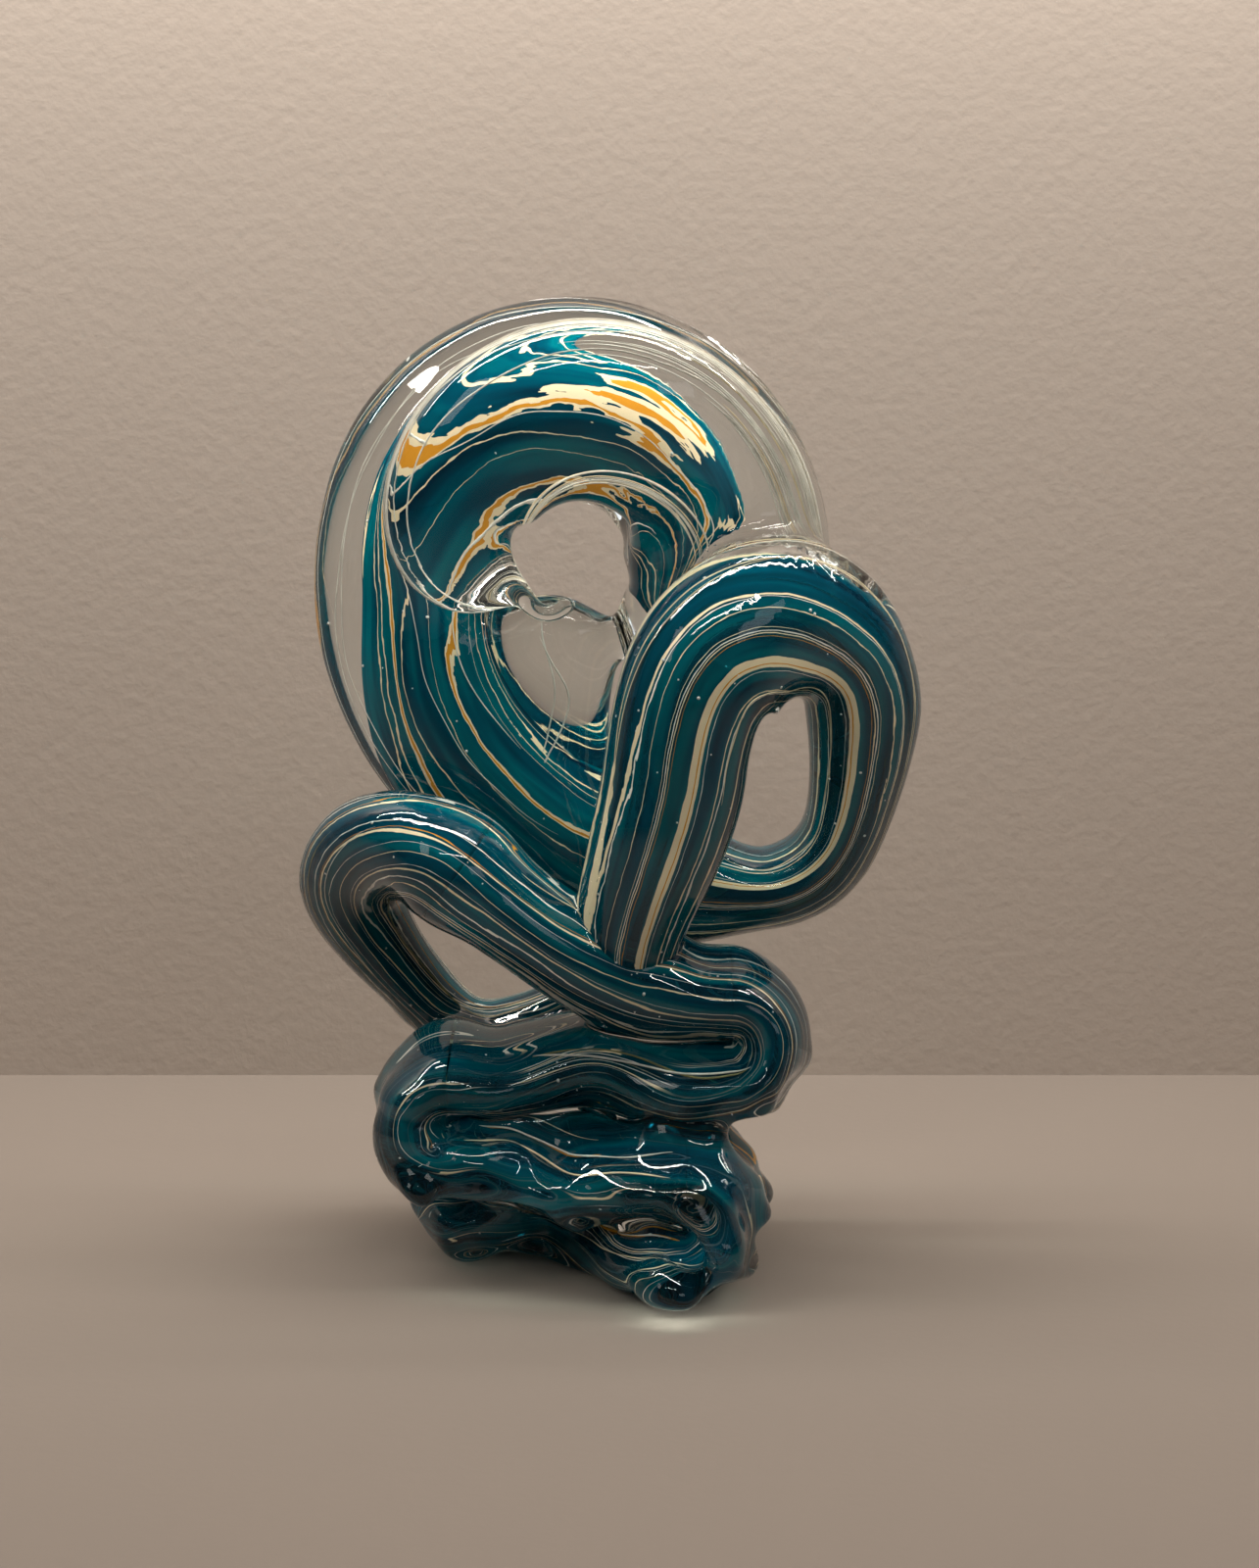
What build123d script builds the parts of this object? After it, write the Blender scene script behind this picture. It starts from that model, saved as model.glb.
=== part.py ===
from build123d import *

import math
import os
from dataclasses import dataclass
from typing import Callable

# A free-standing ornament of folded hot glass, in millimetres.
# One thick strand, clear casing over a coloured core with thin canes laid in the casing, is put
# down in three flat folds, swings up to the left as a curl, stands up on the right as a second
# curl and closes overhead as a crest, with a clear tail coiled in front of it.
# +X is to the viewer's right, +Y away from the viewer and +Z up. The origin is on the table,
# inside the outline of the ground foot.
# Thickness is half the strand's size across, seen from the front, and depth is half its size
# from front to back. Angles are degrees round a loop, anticlockwise from the right.

# Strand
CASING_WALL = 5.0  # clear glass over the colour in the folds and curls
CREST_WALL = 10.0  # clear glass over the colour in the crest, which shows as a wide rim
CANE_WIDTH = 2.2  # half the width of a flattened cane
CANE_DEPTH = 0.9  # half its thickness through the casing
CANE_COVER = 1.3  # clear glass over a cane
SEAT_FLAT = 0.8  # pressed flat on each side of a seat where one fold is laid on another
FUSE_LAP = 3.0  # how far the left curl's end melts into the crest above it
BACK_GAP = 1.0  # between the folds and the strand that passes behind them
SECTION_REACH = 45.0  # how far round a flat section its broad arcs reach, in degrees
LOOP_BLEND = 2.5  # how soon a loop's straight sides run into its round ends

# Foot and flat folds
FOLD_PITCH = 24.6  # from one flat fold up to the next
FOLD_EYE = 1.0  # radius of the eye left inside each half turn
FOOT_GRIND = 1.8  # how much lower the ornament stands for its ground resting face
FOOT_LEFT = -46.0
FOOT_RIGHT = 32.0
SECOND_LEFT = -38.0
THIRD_RIGHT = 46.0
FOOT_START_Y = -6.0
FOOT_END_Y = -30.0
SECOND_END_Y = -18.0
THIRD_END_Y = -22.0
FOOT_START_DEPTH = 28.0
FOOT_END_DEPTH = 43.0
SECOND_END_DEPTH = 31.0
THIRD_END_DEPTH = 27.0

# Lower wave and left curl
WAVE_THICK = 16.5
WAVE_CLIMB_THICK = 15.0
WAVE_END_THICK = 16.0
WAVE_FLAT_PULL = 110.0  # how long the wave holds its level before it climbs
WAVE_CLIMB_PULL = 85.0
LEFT_CURL_X = -39.0
LEFT_CURL_RISE = 10.2  # middle of the loop above the start of the wave
LEFT_CURL_WIDE = 22.0  # half width of the loop that the middle of the strand follows
LEFT_CURL_TALL = 37.0
LEFT_CURL_TILT = 36.0  # how far the top of the loop leans to the left, in degrees
LEFT_CURL_START = 25.0
LEFT_CURL_END = 250.0
LEFT_CURL_Y = -30.0
LEFT_CURL_THICK = 19.0
LEFT_CURL_DEPTH = 21.0
LEFT_RETURN_THICK = 9.0
LEFT_RETURN_DEPTH = 13.0
LEFT_RETURN_PULL = 45.0
LEFT_BACK_PLACE = 0.58  # share of the left curl's length where it has come round behind the folds

# Right curl
LEG_PLACE = 0.33  # share of the wave's length where the right curl's leg stands
LEG_FORWARD = 5.0  # the leg's foot stands this far in front of the wave's middle
LEG_FOOT_THICK = 16.0
LEG_FOOT_DEPTH = 16.0
LEG_THICK = 21.0
LEG_PULL = 60.0
RIGHT_CURL_X = 57.5
RIGHT_CURL_RISE = 67.7  # middle of the loop above the start of the wave
RIGHT_CURL_WIDE = 28.5
RIGHT_CURL_TALL = 43.0
RIGHT_CURL_TILT = -7.0
RIGHT_CURL_END = -75.0
RIGHT_CURL_Y = -40.0
RIGHT_CURL_THICK = 25.5  # at the top of the loop
RIGHT_SIDE_THICK = 17.5  # down its outer side
RIGHT_CURL_DEPTH = 21.5
RIGHT_RETURN_Y = 12.0
RIGHT_RETURN_THICK = 12.5
RIGHT_RETURN_PULL = 35.0

# Crest and tail
CREST_X = -1.0
CREST_RISE = 61.5  # middle of the crest above the middle of the right curl
CREST_RADIUS = 46.5
CREST_SWEEP = 55.0  # how much further out the crest's spiral starts
CREST_START = 282.0
CREST_END = -48.0
CREST_TUCK = 5.0  # how far the rounded sides of the crest and the right curl nest together
CREST_START_THICK = 24.0
CREST_NECK_THICK = 26.0
CREST_START_DEPTH = 20.0
CREST_THICK = 31.0
CREST_END_THICK = 22.0
CREST_DEPTH = 22.0
TAIL_START = -8.0
TAIL_END = 262.0
TAIL_START_Y = 0.0
TAIL_Y = -22.0
TAIL_RADIUS = 47.0
TAIL_COIL = 34.0  # how far the tail's spiral has closed in at its tip
TAIL_THICK = 28.0
TAIL_DEPTH = 17.5
TAIL_TIP = 3.0

# Clear web between the crest and the right curl's leg
WEB_TOP_X = -8.0
WEB_TOP_DROP = 14.0  # below the middle of the crest
WEB_FOOT_PLACE = 0.04  # share of the crest's length where the web's foot stands
WEB_Y = 6.0
WEB_THICK = 19.0
WEB_FOOT_THICK = 17.0
WEB_DEPTH = 9.0
WEB_PULL = 55.0

# Worked out from the sizes above
RUN_THICK = FOLD_PITCH / 2 + SEAT_FLAT
TURN_THICK = FOLD_PITCH / 2 - FOLD_EYE
LEFT_RETURN_Y = SECOND_END_Y + SECOND_END_DEPTH + BACK_GAP + LEFT_RETURN_DEPTH
LEFT_END_Y = THIRD_END_Y + THIRD_END_DEPTH + BACK_GAP + LEFT_RETURN_DEPTH
NOSE_ANGLES = (12, 28, 46, 66)  # where the sections of a rounded end lie, in degrees from its tip
CRUMB = 60.0  # cubic millimetres: less than this, left over by a cut at a shared end, is no piece
SMALL_STEP = 1e-6  # of a route's length, to measure its heading
REACH = 2 * (RIGHT_CURL_RISE + CREST_RISE + CREST_RADIUS + CREST_THICK)  # past every face


def mix(start, end, share):
    """A value the given share of the way from start to end."""
    return start + (end - start) * share


def level(index):
    """Height of the middle of a flat fold, counted up from the foot."""
    return FOLD_PITCH * (index + 0.5) - FOOT_GRIND


def seat(index):
    """Height of the flat on top of a fold, counted up from the foot."""
    return FOLD_PITCH * (index + 1) - FOOT_GRIND


def swell(*knots):
    """A smooth profile through (share of the length, size) knots."""

    def size(share):
        for (low, start), (high, end) in zip(knots, knots[1:]):
            if share <= high:
                local = (share - low) / (high - low)
                return mix(start, end, local * local * (3 - 2 * local))
        return knots[-1][1]

    return size


def taper(start, tip):
    """A profile that stays full for most of the length and then draws out to a tip."""
    return lambda share: mix(start, tip, share**3.2)


def bridge(start, start_pull, end, end_pull):
    """A smooth route that leaves start along one pull and meets end along another."""

    def route(share):
        squared, cubed = share**2, share**3
        weights = (
            2 * cubed - 3 * squared + 1,
            cubed - 2 * squared + share,
            3 * squared - 2 * cubed,
            cubed - squared,
        )
        ends = (start, start_pull, end, end_pull)
        return tuple(sum(w * p[axis] for w, p in zip(weights, ends)) for axis in (0, 1))

    return route


def chain(first, second, first_share):
    """Two routes run one after the other, the first over the given share of the length."""

    def route(share):
        if share < first_share:
            return first(share / first_share)
        return second((share - first_share) / (1 - first_share))

    return route


def pull_along(route, share, length):
    """A step of the given length along a route, backwards where it is negative."""
    behind, ahead = route(share - SMALL_STEP), route(share + SMALL_STEP)
    scale = length / math.dist(behind, ahead)
    return tuple((b - a) * scale for a, b in zip(behind, ahead))


def oval(plane, thick, deep):
    """A closed oval of four tangent arcs, with half sizes along the plane's x and y."""
    joint = math.radians(45 + SECTION_REACH * (deep - thick) / (deep + thick))
    spread = (deep - thick) / (math.cos(joint) + math.sin(joint) - 1)
    edge_radius = deep - spread * math.cos(joint)
    x = edge_radius * math.sin(joint)
    y = (spread + edge_radius) * math.cos(joint)

    def arc(*points):
        return Edge.make_three_point_arc(*(plane.from_local_coords(point) for point in points))

    return Wire(
        [
            arc((x, -y), (thick, 0), (x, y)),
            arc((x, y), (0, deep), (-x, y)),
            arc((-x, y), (-thick, 0), (-x, -y)),
            arc((-x, -y), (0, -deep), (x, -y)),
        ]
    )


def strip(plane, wide, deep):
    """A closed flat rectangle, with half sizes along the plane's x and y."""
    corners = ((wide, deep), (-wide, deep), (-wide, -deep), (wide, -deep))
    return Wire.make_polygon([plane.from_local_coords(corner) for corner in corners])


def slab(left, right, low, high):
    """A block right through the ornament from front to back, which presses or grinds a flat."""
    middle = Pos((left + right) / 2, 0, (low + high) / 2)
    return middle * Box(right - left, 2 * REACH, high - low)


@dataclass(frozen=True)
class Loop:
    """A long loop with round ends, seen from the front and tilted, which the middle of a curl follows."""

    x: float
    z: float
    wide: float
    tall: float
    tilt: float

    def arc(self, start, end):
        """The route round the loop from one angle to another."""
        straight = (self.tall - self.wide) / math.tanh(LOOP_BLEND)
        turn = math.radians(self.tilt)

        def route(share):
            angle = math.radians(mix(start, end, share))
            out = self.wide * math.cos(angle)
            up = self.wide * math.sin(angle) + straight * math.tanh(LOOP_BLEND * math.sin(angle))
            x = self.x + out * math.cos(turn) - up * math.sin(turn)
            return (x, self.z + out * math.sin(turn) + up * math.cos(turn))

        return route


@dataclass(frozen=True)
class Fold:
    """One named fold of the strand, from its start plane to its end plane.

    route gives the middle of the strand as (x, z), side its y, and thick and deep its half sizes,
    all over the share of the fold's length. Every section plane holds the Y direction. The casing
    is drawn in short lengths that meet face to face. wall is the clear glass over the core, or
    None where the fold has no core. nose is the share of the length that a rounded end takes.
    flats are pressed or ground away, and the folds in cut_by were laid down first, so this one
    takes their shape. follows is the one of them whose end plane is this fold's start plane, so
    the first length only meets it there.
    """

    name: str
    route: Callable
    side: Callable
    thick: Callable
    deep: Callable
    sections: int
    lengths: int
    cane_angles: tuple
    cane_span: tuple = (0.1, 0.9)
    wall: float | None = CASING_WALL
    core_span: tuple = (0.0, 1.0)
    nose: float = 0.075
    round_start: bool = False
    round_end: bool = False
    flats: tuple = ()
    cut_by: tuple = ()
    follows: "Fold | None" = None

    def plane(self, share, thick=0.0, deep=0.0):
        """The section plane at a share of the length, moved out from the middle of the strand."""
        behind = self.route(max(0, share - SMALL_STEP))
        ahead = self.route(min(1, share + SMALL_STEP))
        along = Vector(ahead[0] - behind[0], 0, ahead[1] - behind[1])
        across = Vector(0, 1, 0).cross(along).normalized()
        x, z = self.route(share)
        origin = Vector(x, self.side(share) + deep, z) + across * thick
        return Plane(origin, x_dir=across, z_dir=along)

    def stations(self, span):
        """Pairs of (share, size factor), with the sections of a rounded end in its nose."""
        pairs = [(index / (self.sections - 1), 1.0) for index in range(self.sections)]
        angles = [math.radians(angle) for angle in NOSE_ANGLES]
        nose = [(self.nose * (1 - math.cos(angle)), math.sin(angle)) for angle in angles]
        if self.round_start:
            pairs = nose + [pair for pair in pairs if pair[0] >= self.nose]
        if self.round_end:
            pairs = [pair for pair in pairs if pair[0] <= 1 - self.nose]
            pairs += [(1 - place, factor) for place, factor in reversed(nose)]
        return [(mix(*span, place), factor) for place, factor in pairs]

    def rings(self, inset=0.0, span=(0.0, 1.0)):
        """The fold's oval sections, all drawn in by the inset."""
        rings = []
        for share, factor in self.stations(span):
            thick = (self.thick(share) - inset) * factor
            deep = (self.deep(share) - inset) * factor
            rings.append(oval(self.plane(share), thick, deep))
        return rings

    def pressed(self, rings):
        """The loft through outer sections, with the fold's flats."""
        body = Solid.make_loft(rings, ruled=True)
        return body.cut(*self.flats) if self.flats else body

    def outer(self):
        """The fold's whole outside, before its neighbours are cut out of it."""
        return self.pressed(self.rings())

    def outer_lengths(self):
        """The fold's outside in short lengths."""
        rings = self.rings()
        marks = [round(mix(0, len(rings) - 1, index / self.lengths)) for index in range(self.lengths + 1)]
        return [self.pressed(rings[first : last + 1]) for first, last in zip(marks, marks[1:])]

    def core(self):
        """The coloured glass inside the fold."""
        return Solid.make_loft(self.rings(self.wall, self.core_span), ruled=True)

    def cane(self, degrees):
        """A flattened cane that runs along inside the casing at an angle round the section."""
        inset = CANE_COVER + CANE_DEPTH
        turned = (math.cos(math.radians(degrees)), math.sin(math.radians(degrees)))
        rings = []
        for index in range(self.sections):
            share = mix(*self.cane_span, index / (self.sections - 1))
            thick = self.thick(share) - inset
            deep = self.deep(share) - inset
            plane = self.plane(share, thick * turned[0], deep * turned[1])
            flat = plane.y_dir * deep * turned[0] - plane.x_dir * thick * turned[1]
            ring_plane = Plane(plane.origin, x_dir=flat, z_dir=plane.z_dir)
            rings.append(strip(ring_plane, CANE_WIDTH, CANE_DEPTH))
        return Solid.make_loft(rings, ruled=True)


def less(body, others):
    """The solids left of a body once others are cut out of it, without the crumbs at a shared end."""
    rest = body.solids()
    for other in others:
        room = other.bounding_box()
        near = [solid for solid in rest if solid.bounding_box().overlaps(room)]
        far = [solid for solid in rest if not solid.bounding_box().overlaps(room)]
        cut = [bit for solid in near for bit in solid.cut(other).solids()]
        rest = far + [solid for solid in cut if solid.volume > CRUMB]
    return rest


def flat_fold(name, index, x_span, side, deep, **details):
    """A straight run over the fold below, then the half turn up to the next level."""
    start, end = x_span
    radius = FOLD_PITCH / 2
    run = abs(end - start)
    run_share = run / (run + math.pi * radius)
    outward = math.copysign(radius, end - start)

    def straight(share):
        return (mix(start, end, share), level(index))

    def half_turn(share):
        angle = math.pi * share
        return (end + outward * math.sin(angle), level(index) + radius * (1 - math.cos(angle)))

    thick = swell(
        (0, TURN_THICK), (0.25, RUN_THICK), (run_share - 0.1, RUN_THICK), (run_share, TURN_THICK)
    )
    route = chain(straight, half_turn, run_share)
    return Fold(name, route, side, thick, deep, sections=25, lengths=3, **details)


def crest_spiral(start, end, radius):
    """A route round the middle of the crest, whose radius changes over its length."""

    def route(share):
        angle = math.radians(mix(start, end, share))
        return (
            CREST_X + radius(share) * math.cos(angle),
            level(3) + RIGHT_CURL_RISE + CREST_RISE + radius(share) * math.sin(angle),
        )

    return route


foot = flat_fold(
    "foot_fold",
    0,
    (FOOT_LEFT, FOOT_RIGHT),
    side=swell((0, FOOT_START_Y), (1, FOOT_END_Y)),
    deep=swell((0, FOOT_START_DEPTH), (1, FOOT_END_DEPTH)),
    cane_angles=(260, 285),
    round_start=True,
    flats=(
        slab(-REACH, REACH, -REACH, 0),
        slab(-REACH, FOOT_RIGHT - FOLD_EYE, seat(0), REACH),
    ),
)
second = flat_fold(
    "second_fold",
    1,
    (FOOT_RIGHT, SECOND_LEFT),
    side=swell((0, FOOT_END_Y), (1, SECOND_END_Y)),
    deep=swell((0, FOOT_END_DEPTH), (1, SECOND_END_DEPTH)),
    cane_angles=(270, 300),
    flats=(
        slab(-REACH, FOOT_RIGHT - FOLD_EYE, -REACH, seat(0)),
        slab(SECOND_LEFT + FOLD_EYE, REACH, seat(1), REACH),
    ),
)
third = flat_fold(
    "third_fold",
    2,
    (SECOND_LEFT, THIRD_RIGHT),
    side=swell((0, SECOND_END_Y), (1, THIRD_END_Y)),
    deep=swell((0, SECOND_END_DEPTH), (1, THIRD_END_DEPTH)),
    cane_angles=(240, 265),
    flats=(
        slab(SECOND_LEFT + FOLD_EYE, REACH, -REACH, seat(1)),
        slab(-REACH, THIRD_RIGHT - FOLD_EYE, seat(2), REACH),
    ),
)

left_loop = Loop(
    LEFT_CURL_X, level(3) + LEFT_CURL_RISE, LEFT_CURL_WIDE, LEFT_CURL_TALL, LEFT_CURL_TILT
).arc(LEFT_CURL_START, LEFT_CURL_END)
wave = Fold(
    "lower_wave",
    bridge(
        (THIRD_RIGHT, level(3)),
        (-WAVE_FLAT_PULL, 0),
        left_loop(0),
        pull_along(left_loop, 0, WAVE_CLIMB_PULL),
    ),
    side=swell((0, THIRD_END_Y), (1, LEFT_CURL_Y)),
    thick=swell((0, TURN_THICK), (0.25, WAVE_THICK), (0.6, WAVE_CLIMB_THICK), (1, WAVE_END_THICK)),
    deep=swell((0, THIRD_END_DEPTH), (1, LEFT_CURL_DEPTH)),
    sections=21,
    lengths=4,
    cane_angles=(250, 280, 310),
    flats=(slab(-REACH, THIRD_RIGHT - FOLD_EYE, -REACH, seat(2)),),
)

crest_route = crest_spiral(
    CREST_START, CREST_END, lambda share: CREST_RADIUS + CREST_SWEEP * (1 - share) ** 6
)
crest_foot_x, crest_foot_z = crest_route(0)
left_return = bridge(
    left_loop(1),
    pull_along(left_loop, 1, LEFT_RETURN_PULL),
    (crest_foot_x, crest_foot_z - CREST_START_THICK - LEFT_RETURN_THICK + FUSE_LAP),
    (LEFT_RETURN_PULL, LEFT_RETURN_PULL / 2),
)
left_curl = Fold(
    "left_curl",
    chain(left_loop, left_return, 0.68),
    side=swell((0, LEFT_CURL_Y), (LEFT_BACK_PLACE, LEFT_RETURN_Y), (1, LEFT_END_Y)),
    thick=swell(
        (0, WAVE_END_THICK), (0.22, LEFT_CURL_THICK), (0.6, LEFT_RETURN_THICK), (1, LEFT_RETURN_THICK)
    ),
    deep=swell((0, LEFT_CURL_DEPTH), (LEFT_BACK_PLACE, LEFT_RETURN_DEPTH), (1, LEFT_RETURN_DEPTH)),
    sections=36,
    lengths=10,
    core_span=(0.0, 0.9),
    round_end=True,
    cane_angles=(230, 260, 290),
    cane_span=(0.05, 0.5),
    cut_by=(third, second),
)

right_loop = Loop(
    RIGHT_CURL_X, level(3) + RIGHT_CURL_RISE, RIGHT_CURL_WIDE, RIGHT_CURL_TALL, RIGHT_CURL_TILT
).arc(180, RIGHT_CURL_END)
leg = bridge(
    wave.route(LEG_PLACE), (0, LEG_PULL), right_loop(0), pull_along(right_loop, 0, LEG_PULL)
)
right_return = bridge(
    right_loop(1),
    pull_along(right_loop, 1, RIGHT_RETURN_PULL),
    crest_route(0),
    pull_along(crest_route, 0, RIGHT_RETURN_PULL),
)
right_curl = Fold(
    "right_curl",
    chain(leg, chain(right_loop, right_return, 0.85), 0.2),
    side=swell(
        (0, wave.side(LEG_PLACE) - LEG_FORWARD),
        (0.15, RIGHT_CURL_Y),
        (0.25, RIGHT_CURL_Y),
        (0.85, RIGHT_RETURN_Y),
    ),
    thick=swell(
        (0, LEG_FOOT_THICK),
        (0.2, LEG_THICK),
        (0.42, RIGHT_CURL_THICK),
        (0.62, RIGHT_SIDE_THICK),
        (0.75, RIGHT_RETURN_THICK),
        (0.88, RIGHT_RETURN_THICK),
        (1, CREST_START_THICK),
    ),
    deep=swell((0, LEG_FOOT_DEPTH), (0.15, RIGHT_CURL_DEPTH), (1, CREST_START_DEPTH)),
    sections=46,
    lengths=12,
    cane_angles=(230, 255, 280, 305),
    cane_span=(0.15, 0.75),
    cut_by=(wave, left_curl, third),
)

crest_end_y = right_curl.side(0.5) + right_curl.deep(0.5) - CREST_TUCK + CREST_DEPTH
crest = Fold(
    "crest_loop",
    crest_route,
    side=swell((0, RIGHT_RETURN_Y), (1, crest_end_y)),
    thick=swell(
        (0, CREST_START_THICK),
        (0.2, CREST_NECK_THICK),
        (0.55, CREST_THICK),
        (0.85, CREST_THICK),
        (1, CREST_END_THICK),
    ),
    deep=swell((0, CREST_START_DEPTH), (0.4, CREST_DEPTH), (1, CREST_DEPTH)),
    sections=36,
    lengths=10,
    wall=CREST_WALL,
    core_span=(0.0, 0.95),
    round_end=True,
    cane_angles=(215, 250),
    cane_span=(0.25, 0.85),
    cut_by=(left_curl, wave, right_curl),
    follows=right_curl,
)
tail = Fold(
    "crest_tail",
    crest_spiral(TAIL_START, TAIL_END, lambda share: TAIL_RADIUS - TAIL_COIL * share**2.4),
    side=swell((0, TAIL_START_Y), (0.3, TAIL_Y), (1, TAIL_Y)),
    thick=taper(TAIL_THICK, TAIL_TIP),
    deep=taper(TAIL_DEPTH, TAIL_TIP),
    sections=36,
    lengths=8,
    wall=None,
    cane_angles=(250, 335),
    cane_span=(0.3, 0.9),
    cut_by=(crest, right_curl),
)

web = Fold(
    "crest_web",
    bridge(
        (WEB_TOP_X, level(3) + RIGHT_CURL_RISE + CREST_RISE - WEB_TOP_DROP),
        (0, -WEB_PULL),
        crest_route(WEB_FOOT_PLACE),
        (WEB_PULL / 2, -WEB_PULL),
    ),
    side=swell((0, WEB_Y), (1, WEB_Y)),
    thick=swell((0, WEB_THICK), (1, WEB_FOOT_THICK)),
    deep=swell((0, WEB_DEPTH), (1, WEB_DEPTH)),
    sections=11,
    lengths=2,
    nose=0.15,
    cane_angles=(285,),
    cane_span=(0.1, 0.45),
    wall=None,
    round_start=True,
    cut_by=(crest, tail, right_curl),
)

os.makedirs("parts", exist_ok=True)
for fold in (foot, second, third, wave, left_curl, right_curl, crest, tail, web):
    earlier = [neighbour.outer() for neighbour in fold.cut_by]
    canes = [fold.cane(degrees) for degrees in fold.cane_angles]
    inside = list(canes)
    if fold.wall:
        core = max(less(fold.core(), earlier), key=lambda solid: solid.volume)
        inside.append(core)
        export_step(core, f"parts/{fold.name}_core.step")
    first, *others = fold.outer_lengths()
    beside = [tool for tool, neighbour in zip(earlier, fold.cut_by) if neighbour is not fold.follows]
    casing = less(first, beside + inside)
    for length in others:
        casing += less(length, earlier + inside)
    export_step(Compound(casing), f"parts/{fold.name}_casing.step")
    export_step(Compound(canes), f"parts/{fold.name}_canes.step")
    print(fold.name, len(casing), "lengths of casing")
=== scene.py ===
"""Looks for a free-standing ornament of folded hot glass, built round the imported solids.

One thick strand, clear casing over a streaked teal core with cream threads, is put down in three flat
folds, swings up to the left as a curl, stands up on the right as a second curl and closes overhead as
a crest with a clear tail coiled in front of it. Sizes are in millimetres until a mesh is made.
"""

import logging
import math
from dataclasses import dataclass, field
from enum import Enum
from typing import Callable

import bmesh
import bpy
import numpy as np
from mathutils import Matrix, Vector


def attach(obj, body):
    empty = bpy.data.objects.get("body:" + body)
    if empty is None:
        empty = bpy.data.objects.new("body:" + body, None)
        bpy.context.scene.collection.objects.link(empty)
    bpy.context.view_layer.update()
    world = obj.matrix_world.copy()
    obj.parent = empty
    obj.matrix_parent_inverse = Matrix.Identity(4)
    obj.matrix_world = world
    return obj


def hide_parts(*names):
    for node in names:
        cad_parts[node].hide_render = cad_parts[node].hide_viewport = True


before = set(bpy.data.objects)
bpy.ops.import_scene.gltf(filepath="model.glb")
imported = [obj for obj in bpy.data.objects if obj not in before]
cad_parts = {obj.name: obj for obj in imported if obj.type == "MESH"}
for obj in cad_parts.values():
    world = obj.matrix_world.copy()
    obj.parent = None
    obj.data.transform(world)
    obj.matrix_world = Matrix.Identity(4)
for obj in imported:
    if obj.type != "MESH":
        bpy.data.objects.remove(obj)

import openvdb

LOG = logging.getLogger("ornament")
MM = 0.001
NUDGE = 1e-4
ROUNDNESS = 2.5
Array = np.ndarray
Span = tuple[float, float]
Place = tuple[float, float, float]
Colour = tuple[float, float, float, float]
Route = Callable[[Array], Array]
Socket, Node, Tree = bpy.types.NodeSocket, bpy.types.Node, bpy.types.NodeTree
Mesh, Piece, Material = bpy.types.Mesh, bpy.types.Object, bpy.types.Material

CREAM: Colour = (0.80, 0.66, 0.44, 1.0)
WHITE: Colour = (0.78, 0.74, 0.66, 1.0)
AMBER: Colour = (0.62, 0.26, 0.025, 1.0)
OLIVE: Colour = (0.22, 0.20, 0.09, 1.0)
NAVY: Colour = (0.002, 0.012, 0.028, 1.0)
TEAL: Colour = (0.0, 0.056, 0.092, 1.0)
SEA: Colour = (0.0, 0.118, 0.148, 1.0)
NOTHING: Colour = (0.0, 0.0, 0.0, 0.0)
Lines = tuple[tuple[float, float, Colour], ...]
CURL_LINES: Lines = (
    (0.075, 0.012, CREAM), (0.095, 0.006, WHITE), (0.15, 0.006, CREAM), (0.27, 0.007, CREAM), (0.295, 0.006, WHITE),
    (0.315, 0.009, CREAM), (0.34, 0.004, AMBER), (0.47, 0.05, CREAM), (0.52, 0.012, AMBER), (0.532, 0.03, CREAM),
    (0.59, 0.006, WHITE), (0.72, 0.008, CREAM), (0.75, 0.005, WHITE), (0.83, 0.012, CREAM), (0.9, 0.006, WHITE),
)
SWING_LINES: Lines = (
    (0.06, 0.008, WHITE), (0.09, 0.014, CREAM), (0.12, 0.006, WHITE), (0.18, 0.006, CREAM), (0.23, 0.005, WHITE),
    (0.3, 0.016, CREAM), (0.345, 0.005, WHITE), (0.46, 0.006, CREAM), (0.58, 0.005, WHITE), (0.66, 0.012, CREAM),
    (0.685, 0.005, AMBER), (0.76, 0.006, WHITE), (0.86, 0.008, CREAM), (0.884, 0.005, AMBER), (0.93, 0.008, WHITE),
)
CREST_LINES: Lines = (
    (0.05, 0.008, CREAM), (0.09, 0.008, CREAM), (0.15, 0.012, CREAM), (0.162, 0.014, AMBER), (0.176, 0.008, CREAM),
    (0.25, 0.005, CREAM), (0.4, 0.005, CREAM), (0.55, 0.008, CREAM), (0.558, 0.014, AMBER), (0.572, 0.012, CREAM),
    (0.72, 0.005, CREAM), (0.81, 0.008, CREAM), (0.87, 0.012, CREAM), (0.94, 0.008, CREAM),
)


class Slot(Enum):
    """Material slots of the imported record."""

    CLEAR = "clear_glass"
    TEAL = "teal_glass"
    CREAM = "cream_glass"


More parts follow.
